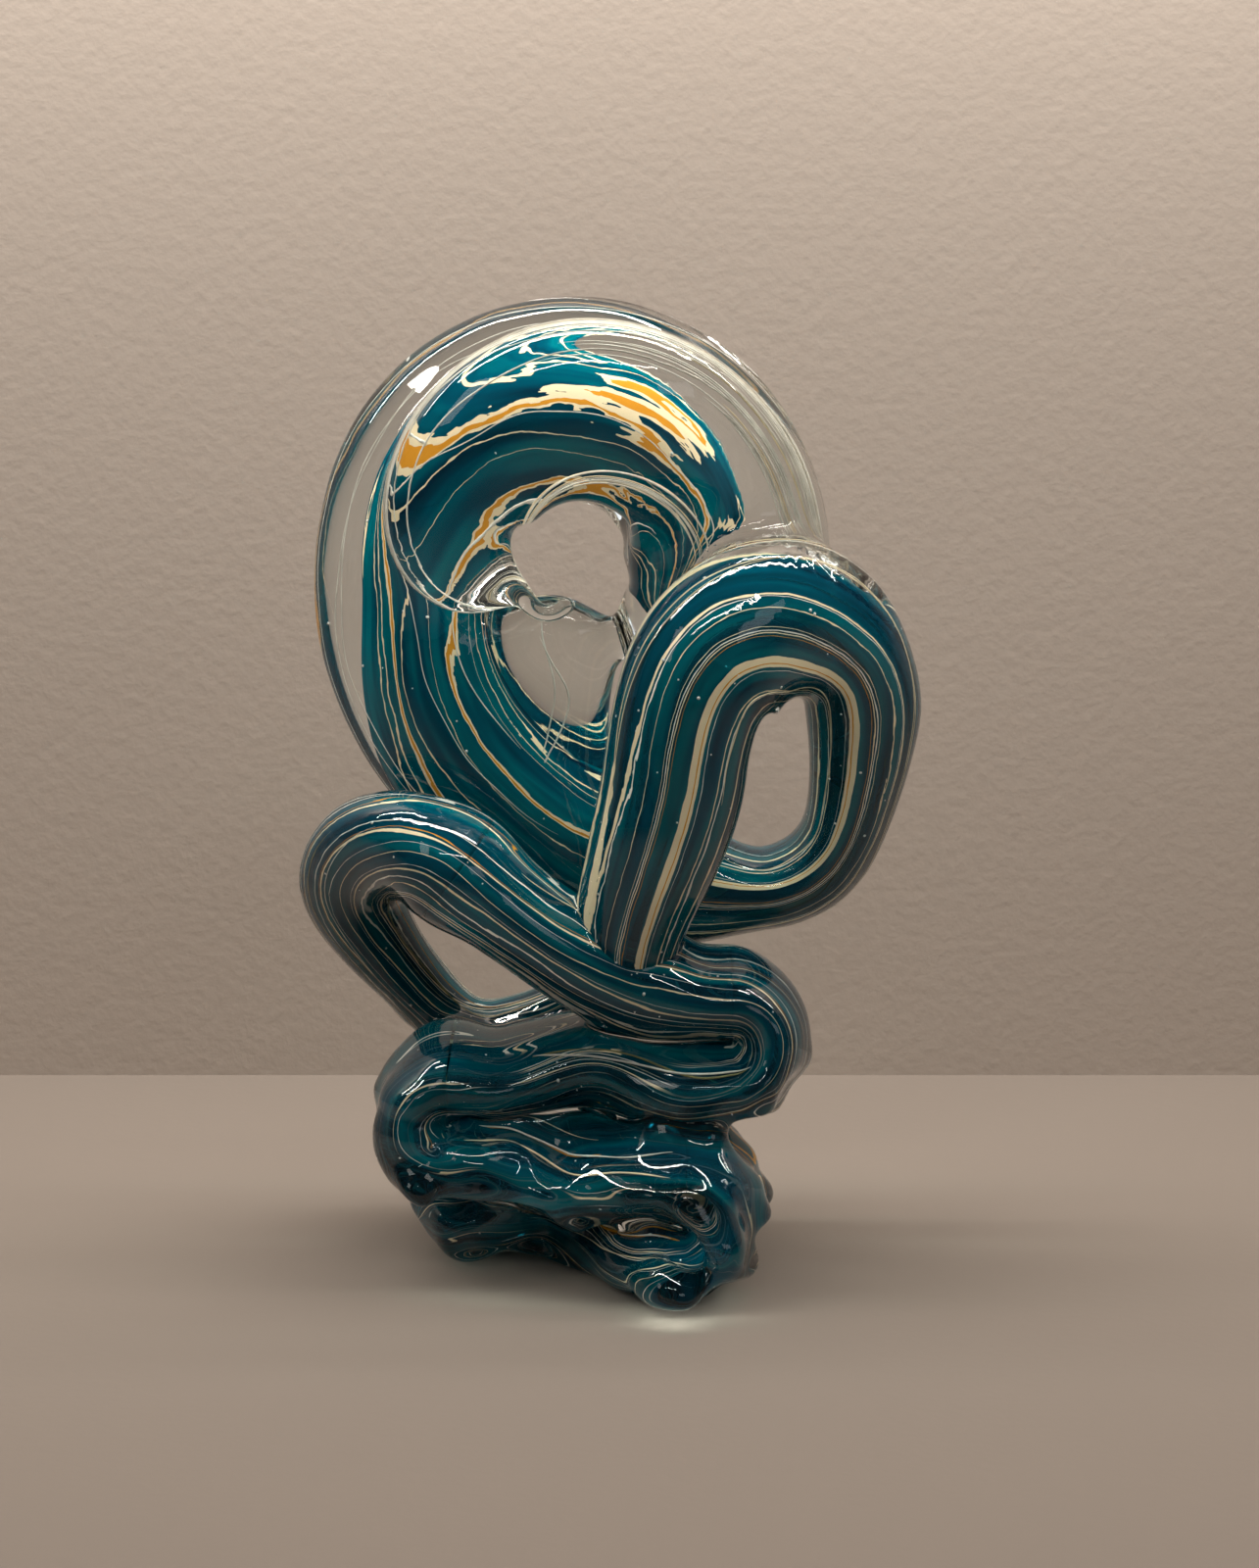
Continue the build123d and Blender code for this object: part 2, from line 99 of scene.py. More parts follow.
class NodeSheet:
    """A node tree with short ways to add and join its nodes."""

    def __init__(self, tree: Tree) -> None:
        """Keeps the tree that the nodes go into."""
        self.tree = tree

    def add(self, kind: str, values: dict | None = None, **settings) -> Node:
        """Adds a node.

        Args:
            kind: The node's type name.
            values: What goes into its sockets, by name or number: a value or another socket.
            **settings: The node's own properties.

        Returns:
            The new node.
        """
        node = self.tree.nodes.new(kind)
        for name, setting in settings.items():
            setattr(node, name, setting)
        for key, value in (values or {}).items():
            self.feed(node.inputs[key], value)
        return node

    def feed(self, socket: Socket, value: object) -> None:
        """Joins another socket to this one, or sets its value."""
        if isinstance(value, Socket):
            self.tree.links.new(value, socket)
        else:
            socket.default_value = value

    def out(self, kind: str, values: dict | None = None, **settings) -> Socket:
        """Adds a node; returns its first output."""
        return self.add(kind, values, **settings).outputs[0]

    def math(self, operation: str, first: object, second: object = 0.0, third: object = 0.0) -> Socket:
        """A sum on numbers."""
        return self.out("ShaderNodeMath", {0: first, 1: second, 2: third}, operation=operation)

    def plus(self, first: object, second: object) -> Socket:
        """One number and another."""
        return self.math("ADD", first, second)

    def times(self, first: object, second: object, more: object = None) -> Socket:
        """One number times another, with more added to it if any is given."""
        if more is None:
            return self.math("MULTIPLY", first, second)
        return self.math("MULTIPLY_ADD", first, second, more)

    def moved(self, first: object, second: object) -> Socket:
        """One vector and another."""
        return self.out("ShaderNodeVectorMath", {0: first, 1: second}, operation="ADD")

    def scaled(self, first: object, amount: object) -> Socket:
        """A vector times a number."""
        return self.out("ShaderNodeVectorMath", {0: first, 3: amount}, operation="SCALE")

    def xyz(self, **parts: object) -> Socket:
        """A vector made from its parts X, Y and Z."""
        return self.out("ShaderNodeCombineXYZ", parts)

    def vary(self, spot: Socket, scale: float, detail: float = 2.0) -> Socket:
        """Noise from 0 to 1 at a spot."""
        return self.out("ShaderNodeTexNoise", {"Vector": spot, "Scale": scale, "Detail": detail})

    def spread(self, value: Socket, given: tuple, wanted: tuple = (0.0, 1.0), **settings) -> Socket:
        """A value moved from the range given to the range wanted, and held inside it."""
        ends = dict(zip(("From Min", "From Max", "To Min", "To Max"), (*given, *wanted)))
        return self.out("ShaderNodeMapRange", {"Value": value, **ends}, **settings)

    def ramp(self, fac: Socket, stops: list[tuple[float, Colour]], mode: str = "LINEAR") -> Node:
        """A colour ramp.

        Args:
            fac: What drives it.
            stops: Places and colours, in order.
            mode: How it runs between stops.

        Returns:
            The ramp's node.
        """
        node = self.add("ShaderNodeValToRGB", {"Fac": fac})
        node.color_ramp.interpolation = mode
        elements = node.color_ramp.elements
        while len(elements) < len(stops):
            elements.new(1.0)
        for element, (place, colour) in zip(elements, stops):
            element.position, element.color = place, colour
        return node


class Finish(NodeSheet):
    """The node sheet of a new material."""

    def __init__(self, name: str) -> None:
        """Starts an empty material under a name."""
        self.material = bpy.data.materials.new(name)
        self.material.use_nodes = True
        super().__init__(self.material.node_tree)
        self.tree.nodes.clear()

    def place(self) -> Socket:
        """Where a point lies in the ornament's frame."""
        return self.add("ShaderNodeTexCoord").outputs["Object"]

    def kept(self, name: str, output: str) -> Socket:
        """A value that the mesh keeps under a name."""
        return self.add("ShaderNodeAttribute", attribute_name=name).outputs[output]

    def solid(self, colour: object, rough: object, **values: object) -> Socket:
        """A solid or clear body; values are other sockets, with low lines for the spaces in their names."""
        named = {key.replace("_", " "): value for key, value in values.items()}
        return self.out("ShaderNodeBsdfPrincipled", {"Base Color": colour, "Roughness": rough, **named})

    def through(self, colour: Colour = (1.0, 1.0, 1.0, 1.0)) -> Socket:
        """A surface that light goes straight through."""
        return self.out("ShaderNodeBsdfTransparent", {"Color": colour})

    def blend(self, share: Socket, first: Socket, second: Socket) -> Socket:
        """Two surfaces mixed by a share."""
        return self.out("ShaderNodeMixShader", {0: share, 1: first, 2: second})

    def done(self, surface: Socket) -> Material:
        """Ends the material with its surface; returns it."""
        self.add("ShaderNodeOutputMaterial", {"Surface": surface})
        return self.material


@dataclass(frozen=True)
class Profile:
    """A size that changes smoothly along a fold, through (share of the length, size) knots."""

    knots: tuple[Span, ...]

    def at(self, share: Array) -> Array:
        """The size at each share of the length."""
        share = np.asarray(share, float)
        size = np.full(share.shape, float(self.knots[-1][1]))
        for (low, start), (high, end) in reversed(list(zip(self.knots, self.knots[1:]))):
            local = np.clip((share - low) / (high - low), 0, 1)
            size = np.where(share <= high, start + (end - start) * local * local * (3 - 2 * local), size)
        return size


@dataclass(frozen=True)
class Taper:
    """A size that stays full for most of the length and then draws out to a tip."""

    start: float
    tip: float
    power: float = 3.2
    drawn: float = 0.755
    soft: float = 0.03

    def at(self, share: Array) -> Array:
        """The size at each share of the length, thin like a thread past the share where it is drawn out."""
        share = np.asarray(share, float)
        full = (self.start - self.tip) * (1 - share**self.power)
        return self.tip + full / (1 + np.exp((share - self.drawn) / self.soft))


def bridge(start: tuple, start_pull: tuple, end: tuple, end_pull: tuple) -> Route:
    """A smooth route that leaves start along one pull and meets end along another."""

    def route(share: Array) -> Array:
        """Points (x, z) at each share."""
        s = np.asarray(share, float)[..., None]
        a, b, c, d = (np.array(p, float) for p in (start, start_pull, end, end_pull))
        return (2 * s**3 - 3 * s**2 + 1) * a + (s**3 - 2 * s**2 + s) * b + (3 * s**2 - 2 * s**3) * c + (s**3 - s**2) * d

    return route


def chain(first: Route, second: Route, first_share: float) -> Route:
    """Two routes run one after the other, the first over the given share of the length."""

    def route(share: Array) -> Array:
        """Points (x, z) at each share."""
        s = np.asarray(share, float)
        early = first(s / first_share)
        late = second((s - first_share) / (1 - first_share))
        return np.where((s < first_share)[..., None], early, late)

    return route


def loop_arc(x: float, z: float, wide: float, tall: float, tilt: float, start: float, end: float) -> Route:
    """The route round a tilted long loop with round ends, from one angle to another, in degrees."""

    def route(share: Array) -> Array:
        """Points (x, z) at each share."""
        angle = np.radians(start + (end - start) * np.asarray(share, float))
        out = wide * np.cos(angle)
        up = wide * np.sin(angle) + (tall - wide) * np.tanh(ROUNDNESS * np.sin(angle)) / math.tanh(ROUNDNESS)
        cosine, sine = math.cos(math.radians(tilt)), math.sin(math.radians(tilt))
        return np.stack([x + out * cosine - up * sine, z + out * sine + up * cosine], -1)

    return route


def spiral(x: float, z: float, start: float, end: float, radius: Callable[[Array], Array]) -> Route:
    """A route round a middle whose radius changes over its length."""

    def route(share: Array) -> Array:
        """Points (x, z) at each share."""
        s = np.asarray(share, float)
        angle = np.radians(start + (end - start) * s)
        return np.stack([x + radius(s) * np.cos(angle), z + radius(s) * np.sin(angle)], -1)

    return route


def point_at(route: Route, share: float) -> tuple:
    """The point (x, z) of a route at one share of it."""
    return tuple(route(np.array(share)))


def pull_along(route: Route, share: float, length: float) -> tuple:
    """A step of the given length along a route at one share of it."""
    step = route(np.array(share + NUDGE)) - route(np.array(share - NUDGE))
    return tuple(step / np.linalg.norm(step) * length)


@dataclass
class Stations:
    """Sections along a strand: middles, directions, half sizes and the length so far."""

    centre: Array
    along: Array
    across: Array
    thick: Array
    deep: Array
    reach: Array


@dataclass(frozen=True)
class Strand:
    """One fold of the strand: its route seen from the front, its depth and its half sizes.

    melt is how far it runs into the folds that were there before it.
    """

    name: str
    route: Route
    side: Profile
    thick: Profile | Taper
    deep: Profile | Taper
    round_start: bool = False
    round_end: bool = False
    melt: float = 3.0

    def stations(self, count: int, span: Span = (0.0, 1.0)) -> Stations:
        """Sections at even shares of the length.

        Args:
            count: How many.
            span: First and last share.

        Returns:
            The sections.
        """
        share = np.linspace(*span, count)
        flat = self.route(share)
        step = self.route(np.minimum(share + NUDGE, 1)) - self.route(np.maximum(share - NUDGE, 0))
        step /= np.linalg.norm(step, axis=1)[:, None]
        centre = np.stack([flat[:, 0], self.side.at(share), flat[:, 1]], 1)
        along = np.stack([step[:, 0], np.zeros(count), step[:, 1]], 1)
        across = np.stack([step[:, 1], np.zeros(count), -step[:, 0]], 1)
        gaps = np.linalg.norm(np.diff(centre, axis=0), axis=1)
        reach = np.concatenate([[0], np.cumsum(gaps)])
        return Stations(centre, along, across, self.thick.at(share), self.deep.at(share), reach)

    def body(self, count: int = 241) -> Stations:
        """Sections between the middles of its rounded ends."""
        first, last = 0.0, 1.0
        length = self.stations(count).reach[-1]
        if self.round_start:
            first = float(self.thick.at(np.array(0.0))) / length
        if self.round_end:
            last = 1 - float(self.thick.at(np.array(1.0))) / length
        return self.stations(count, (first, last))


@dataclass(frozen=True)
class Base:
    """The three flat folds that the ornament stands on."""

    pitch: float = 24.6
    eye: float = 1.0
    flat: float = 0.8
    grind: float = 1.8
    foot_left: float = -46.0
    foot_right: float = 32.0
    second_left: float = -38.0
    third_right: float = 46.0
    middles: tuple[float, ...] = (-6.0, -30.0, -18.0, -22.0)
    depths: tuple[float, ...] = (28.0, 43.0, 31.0, 27.0)
    heave: float = 3.0
    middle_swell: float = 3.0
    depth_swell: float = -4.0
    melt: float = 8.0

    def level(self, index: int) -> float:
        """Height of the middle of a flat fold, counted up from the foot."""
        return self.pitch * (index + 0.5) - self.grind

    @property
    def turn_thick(self) -> float:
        """Half thickness of the strand in a half turn."""
        return self.pitch / 2 - self.eye

    def fold(self, name: str, index: int, start: float, end: float) -> Strand:
        """A straight run and the half turn up to the next level.

        Args:
            name: The fold's name.
            index: Its place, counted up from the foot.
            start: Where its run starts, left or right.
            end: Where its run ends.

        Returns:
            The fold.
        """
        radius = self.pitch / 2
        run = abs(end - start)
        run_share = run / (run + math.pi * radius)
        outward = math.copysign(radius, end - start)
        height = self.level(index)

        def straight(share: Array) -> Array:
            """The run over the fold below, which sags and heaves a little."""
            share = np.asarray(share, float)
            heave = self.heave * np.sin(math.pi * share) * np.sin(7.0 * share + 2.0 * index)
            return np.stack([start + (end - start) * share, height + heave], -1)

        def half_turn(share: Array) -> Array:
            """The turn up to the next level."""
            angle = math.pi * np.asarray(share, float)
            return np.stack([end + outward * np.sin(angle), height + radius * (1 - np.cos(angle))], -1)

        run_thick = radius + self.flat
        thick = ((0, self.turn_thick), (0.25, run_thick), (run_share - 0.1, run_thick), (run_share, self.turn_thick))
        return Strand(
            name,
            chain(straight, half_turn, run_share),
            self.uneven(self.middles, index, self.middle_swell),
            Profile(thick),
            self.uneven(self.depths, index, self.depth_swell),
            round_start=index == 0,
            melt=self.melt,
        )

    def uneven(self, sizes: tuple[float, ...], index: int, swell: float) -> Profile:
        """A size that swells and shrinks on its way from one fold's start to its end."""
        first, last = sizes[index], sizes[index + 1]
        return Profile(((0, first), (0.3, first + swell), (0.62, last - swell), (1, last)))

    def strands(self) -> list[Strand]:
        """The folds, from the foot up."""
        ends = (self.foot_left, self.foot_right, self.second_left, self.third_right)
        names = ("foot_fold", "second_fold", "third_fold")
        return [self.fold(name, i, ends[i], ends[i + 1]) for i, name in enumerate(names)]


@dataclass(frozen=True)
class Crest:
    """The thick clear loop overhead, with its tail coiled in front and its web of clear glass."""

    x: float = -1.0
    z: float = 213.5
    radius: float = 46.5
    sweep: float = 55.0
    start: float = 282.0
    end: float = -48.0
    start_y: float = 12.0
    end_y: float = 17.8

    def middle(self) -> Route:
        """The route of the crest's own loop."""
        return spiral(self.x, self.z, self.start, self.end, lambda s: self.radius + self.sweep * (1 - s) ** 6)

    def strands(self) -> list[Strand]:
        """The loop, its tail and its web."""
        loop = Strand(
            "crest_loop",
            self.middle(),
            Profile(((0, self.start_y), (1, self.end_y))),
            Profile(((0, 24), (0.2, 26), (0.55, 31), (0.85, 31), (1, 22))),
            Profile(((0, 20), (0.4, 22), (1, 22))),
            round_end=True,
        )
        tail = Strand(
            "crest_tail",
            spiral(self.x, self.z, -8, 262, lambda s: 47 - 34 * s**2.4 - 8 * np.exp(-(((s - 0.8) / 0.1) ** 2))),
            Profile(((0, 0), (0.3, -22), (1, -22))),
            Taper(27, 2.6),
            Taper(17.5, 2.6),
            melt=18.0,
        )
        web = Strand(
            "crest_web",
            bridge((-8, self.z - 14), (0, -55), point_at(self.middle(), 0.04), (27.5, -55)),
            Profile(((0, 6), (1, 6))),
            Profile(((0, 19), (1, 17))),
            Profile(((0, 9), (1, 9))),
            round_start=True,
            melt=16.0,
        )
        return [loop, tail, web]


@dataclass(frozen=True)
class Curls:
    """The lower wave with the left curl it swings up into, and the right curl that stands on it."""

    base: Base
    crest: Crest
    left_x: float = -39.0
    left_z: float = 94.5
    right_x: float = 57.5
    right_z: float = 152.0
    leg_place: float = 0.33
    tuck: float = 30.0

    def strands(self) -> list[Strand]:
        """The wave and the two curls."""
        turn = self.base.turn_thick
        left_loop = loop_arc(self.left_x, self.left_z, 22, 37, 36, 25, 250)
        begin = point_at(left_loop, 0.0)
        wave = Strand(
            "lower_wave",
            bridge((self.base.third_right, self.base.level(3)), (-110, 0), begin, pull_along(left_loop, 0, 85)),
            Profile(((0, self.base.middles[3]), (1, -30))),
            Profile(((0, turn), (0.25, 16.5), (0.6, 15), (1, 16))),
            Profile(((0, self.base.depths[3]), (1, 21))),
            melt=6.0,
        )
        crest_route = self.crest.middle()
        foot_x, foot_z = point_at(crest_route, 0.0)
        back = bridge(point_at(left_loop, 1.0), pull_along(left_loop, 1, 45), (foot_x, foot_z - self.tuck), (45, 22.5))
        left = Strand(
            "left_curl",
            chain(left_loop, back, 0.68),
            Profile(((0, -30), (0.58, 27), (1, 19))),
            Profile(((0, 16), (0.22, 19), (0.6, 9), (1, 9))),
            Profile(((0, 21), (0.58, 13), (1, 13))),
            round_end=True,
            melt=8.0,
        )
        right_loop = loop_arc(self.right_x, self.right_z, 28.5, 43, -7, 180, -75)
        stand = point_at(wave.route, self.leg_place)
        leg = bridge(stand, (0, 60), point_at(right_loop, 0.0), pull_along(right_loop, 0, 60))
        arrive = pull_along(crest_route, 0, 35)
        home = bridge(point_at(right_loop, 1.0), pull_along(right_loop, 1, 35), (foot_x, foot_z), arrive)
        stand_y = float(wave.side.at(np.array(self.leg_place))) - 5
        right = Strand(
            "right_curl",
            chain(leg, chain(right_loop, home, 0.85), 0.2),
            Profile(((0, stand_y), (0.15, -40), (0.25, -40), (0.85, self.crest.start_y))),
            Profile(((0, 16), (0.2, 21), (0.42, 25.5), (0.62, 17.5), (0.75, 12.5), (0.88, 12.5), (1, 24))),
            Profile(((0, 16), (0.15, 21.5), (1, 20))),
        )
        return [wave, left, right]


def melted(first: Array, second: Array, reach: float) -> Array:
    """The lesser of two fields of distances, with a fillet where they differ by less than reach."""
    bite = np.maximum(reach - np.abs(first - second), 0) / reach
    return np.minimum(first, second) - bite * bite * reach / 4


class FusedSkin:
    """The outside of all the folds melted together, shared out again among them.

    Each fold is a field of distances round its oval sections. The fields are joined with small fillets,
    rippled a little, ground flat underneath and turned into one skin, whose faces go to the fold that
    they lie nearest to.
    """

    FAR = 18.0
    STEP = 12
    LUMPS = (
        (48, 0.2, 1.0), (37, 0.12, 1.4), (30, 0.08, 1.4), (25, 0.06, 1.2),
        (21, 0.04, 1.1), (17, 0.02, 0.9), (14, 0.01, 0.6), (11, 0.0, 0.35),
    )
    LUMP_SEED = 7
    HEAP_TOP, HEAP_FADE = 58.0, 7.0
    GROUND_EDGE = 3.0
    SETTLINGS, SETTLE = 3, 0.8

    def __init__(self, strands: list[Strand], voxel: float = 1.0) -> None:
        """Makes the skin.

        Args:
            strands: The folds.
            voxel: Size of the field's cells.
        """
        self.strands = strands
        self.voxel = voxel
        bodies = [strand.body() for strand in strands]
        spread = [np.maximum(b.thick, b.deep).max() + self.FAR for b in bodies]
        self.low = np.min([b.centre.min(0) - s for b, s in zip(bodies, spread)], axis=0)
        high = np.max([b.centre.max(0) + s for b, s in zip(bodies, spread)], axis=0)
        self.low[2] = -self.FAR / 2
        self.shape = np.ceil((high - self.low) / voxel).astype(int) + 1
        self.axes = [self.low[i] + voxel * np.arange(self.shape[i]) for i in range(3)]
        self.own = [self.field_round(body) for body in bodies]
        self.whole = self.join()
        self.points, self.quads, self.normals = self.skin()
        self.owners = self.share_out()

    def field_round(self, body: Stations) -> tuple[tuple[slice, ...], Array]:
        """Distances round one fold, in the part of the grid that it reaches.

        Args:
            body: The fold's sections.

        Returns:
            That part of the grid, and the distances there.
        """
        pads = np.array([body.thick.max(), body.deep.max(), body.thick.max()]) + self.FAR
        first = np.clip(((body.centre.min(0) - pads - self.low) / self.voxel).astype(int), 0, self.shape - 1)
        last = np.clip(((body.centre.max(0) + pads - self.low) / self.voxel).astype(int) + 1, 1, self.shape)
        room = tuple(slice(a, b) for a, b in zip(first, last))
        xs, ys, zs = (axis[part] for axis, part in zip(self.axes, room))
        out = np.full((len(xs), len(ys), len(zs)), self.FAR, np.float32)
        spare = out.copy()
        for start in range(0, len(body.reach) - 1, self.STEP):
            part = slice(start, min(start + self.STEP, len(body.reach) - 1) + 1)
            route, heading = body.centre[part][:, [0, 2]], body.along[part][:, [0, 2]]
            thick, deep, side = body.thick[part], body.deep[part], body.centre[part][:, 1]
            pad = thick.max() + self.FAR
            i0, i1 = np.searchsorted(xs, [route[:, 0].min() - pad, route[:, 0].max() + pad])
            k0, k1 = np.searchsorted(zs, [route[:, 1].min() - pad, route[:, 1].max() + pad])
            spots = np.stack(np.meshgrid(xs[i0:i1], zs[k0:k1], indexing="ij"), -1)
            near = ((spots[:, :, None, :] - route) ** 2).sum(-1).argmin(-1)
            gap = np.linalg.norm(np.diff(route, axis=0), axis=1).mean()
            place = near + ((spots - route[near]) * heading[near]).sum(-1) / gap
            past = (place < 0) & (start > 0) | (place > len(route) - 1) & (part.stop < len(body.reach))
            place = np.clip(place, 0, len(route) - 1)
            base = np.minimum(place.astype(int), len(route) - 2)
            rest = place - base

            def between(values: Array) -> Array:
                """Values read between two sections."""
                weight = rest if values.ndim == 1 else rest[..., None]
                return values[base] * (1 - weight) + values[base + 1] * weight

            across = ((spots - between(route)) ** 2).sum(-1)[..., None]
            wide, tall = between(thick)[..., None], between(deep)[..., None]
            depth = (ys - between(side)[..., None]) / tall
            size = np.sqrt(across / wide**2 + depth**2)
            slope = np.sqrt(across / wide**4 + (depth / tall) ** 2)
            gone = np.clip(size * (size - 1) / np.maximum(slope, 1e-6), -self.FAR, self.FAR)
            for grid, there in ((out, ~past), (spare, past)):
                view = grid[i0:i1, :, k0:k1]
                held = np.where(there[..., None], gone, self.FAR)
                np.minimum(view, held.transpose(0, 2, 1).astype(np.float32), out=view)
        return room, np.where(out < self.FAR, out, spare)

    def join(self) -> Array:
        """All the folds in one field, rippled and ground flat underneath."""
        whole = np.full(self.shape, self.FAR, np.float32)
        for strand, (room, gone) in zip(self.strands, self.own):
            whole[room] = melted(whole[room], gone, strand.melt)
        x, y, z = (axis.astype(np.float32) for axis in self.axes)
        x, y, z = x[:, None, None], y[None, :, None], z[None, None, :]
        heap = 1 / (1 + np.exp((z - self.HEAP_TOP) / self.HEAP_FADE))
        random = np.random.default_rng(self.LUMP_SEED)
        for length, calm, lumpy in self.LUMPS:
            turn = random.normal(size=3)
            turn *= 2 * math.pi / length / np.linalg.norm(turn)
            phase = random.uniform(0, 2 * math.pi)
            height = calm + (lumpy - calm) * heap
            whole += (height * np.sin(turn[0] * x + turn[1] * y + turn[2] * z + phase)).astype(np.float32)
        return -melted(-whole, np.broadcast_to(z, whole.shape), self.GROUND_EDGE)

    def read(self, values: Array, points: Array, first: Array | int = 0) -> Array:
        """Values of a field at points between its cells.

        Args:
            values: The field.
            points: Points in cells of the whole grid.
            first: The field's first cell in the whole grid.

        Returns:
            One value a point.
        """
        place = np.clip(points - first, 0, np.array(values.shape[:3]) - 1.001)
        base = place.astype(int)
        rest = place - base
        total = 0.0
        for corner in np.ndindex(2, 2, 2):
            weight = np.prod(np.where(corner, rest, 1 - rest), axis=1)
            spot = base + corner
            total = total + weight * values[spot[:, 0], spot[:, 1], spot[:, 2]]
        return total

    def skin(self) -> tuple[Array, Array, Array]:
        """The skin's points in cells, its faces and its outward directions."""
        grid = openvdb.FloatGrid(self.FAR)
        grid.copyFromArray(self.whole)
        points, quads = grid.convertToQuads(isovalue=0.0)
        points = points.astype(float)
        slopes = np.gradient(self.whole)
        for _ in range(self.SETTLINGS):
            slope = np.stack([self.read(s, points) for s in slopes], 1)
            gone = self.read(self.whole, points)
            points -= slope * (gone / np.maximum((slope**2).sum(1), 1e-6))[:, None] * self.SETTLE
        slope = np.stack([self.read(s, points) for s in slopes], 1)
        normals = slope / np.linalg.norm(slope, axis=1)[:, None]
        a, b, c = (points[quads[:, i]] for i in range(3))
        facing = (np.cross(b - a, c - a) * normals[quads[:, 0]]).sum(1)
        if np.median(facing) < 0:
            quads = quads[:, ::-1]
        return points, quads.astype(int), normals

    def share_out(self) -> Array:
        """The fold that each face belongs to."""
        gone = np.full((len(self.strands), len(self.points)), self.FAR)
        for row, (room, values) in zip(gone, self.own):
            first = np.array([part.start for part in room])
            last = np.array([part.stop for part in room]) - 1
            inside = ((self.points >= first) & (self.points <= last)).all(1)
            row[inside] = self.read(values, self.points[inside], first)
        return gone[:, self.quads].mean(2).argmin(0)

    def piece(self, index: int, materials: list[Material]) -> Piece:
        """One fold's share of the skin, closed where it is melted into its neighbours.

        Args:
            index: The fold's place in the list.
            materials: Its glass, and the clear joint to its neighbours.

        Returns:
            The closed piece.
        """
        name = self.strands[index].name
        quads = self.quads[self.owners == index]
        used, local = np.unique(quads, return_inverse=True)
        places = np.maximum(self.low + self.points[used] * self.voxel, (-np.inf, -np.inf, 0)) * MM
        mesh = bpy.data.meshes.new(name)
        mesh.from_pydata(places.tolist(), [], local.reshape(-1, 4).tolist())
        for material in materials:
            mesh.materials.append(material)
        body = bmesh.new()
        body.from_mesh(mesh)
        for _ in range(2):
            rim = [edge for edge in body.edges if edge.is_boundary]
            lids = bmesh.ops.holes_fill(body, edges=rim, sides=0)["faces"] if rim else []
            for lid in lids:
                lid.material_index = 1
            bmesh.ops.triangulate(body, faces=lids)
        open_edges = sum(1 for edge in body.edges if not edge.is_manifold)
        for face in body.faces:
            face.smooth = True
        body.to_mesh(mesh)
        body.free()
        mesh.normals_split_custom_set_from_vertices(self.normals[used].tolist())
        LOG.info("%s skin: %d faces, %d open edges", name, len(mesh.polygons), open_edges)
        return put(name + "_glass", mesh)


def put(name: str, mesh: Mesh) -> Piece:
    """Puts a mesh into the scene under a name."""
    piece = bpy.data.objects.new(name, mesh)
    bpy.context.scene.collection.objects.link(piece)
    return piece


def press_flat(mesh: Mesh, height: float) -> None:
    """Presses the underside of a shape flat at a height above the floor."""
    spots = np.empty(3 * len(mesh.vertices), np.float32)
    mesh.vertices.foreach_get("co", spots)
    spots[2::3] = np.maximum(spots[2::3], height)
    mesh.vertices.foreach_set("co", spots)
    mesh.update()


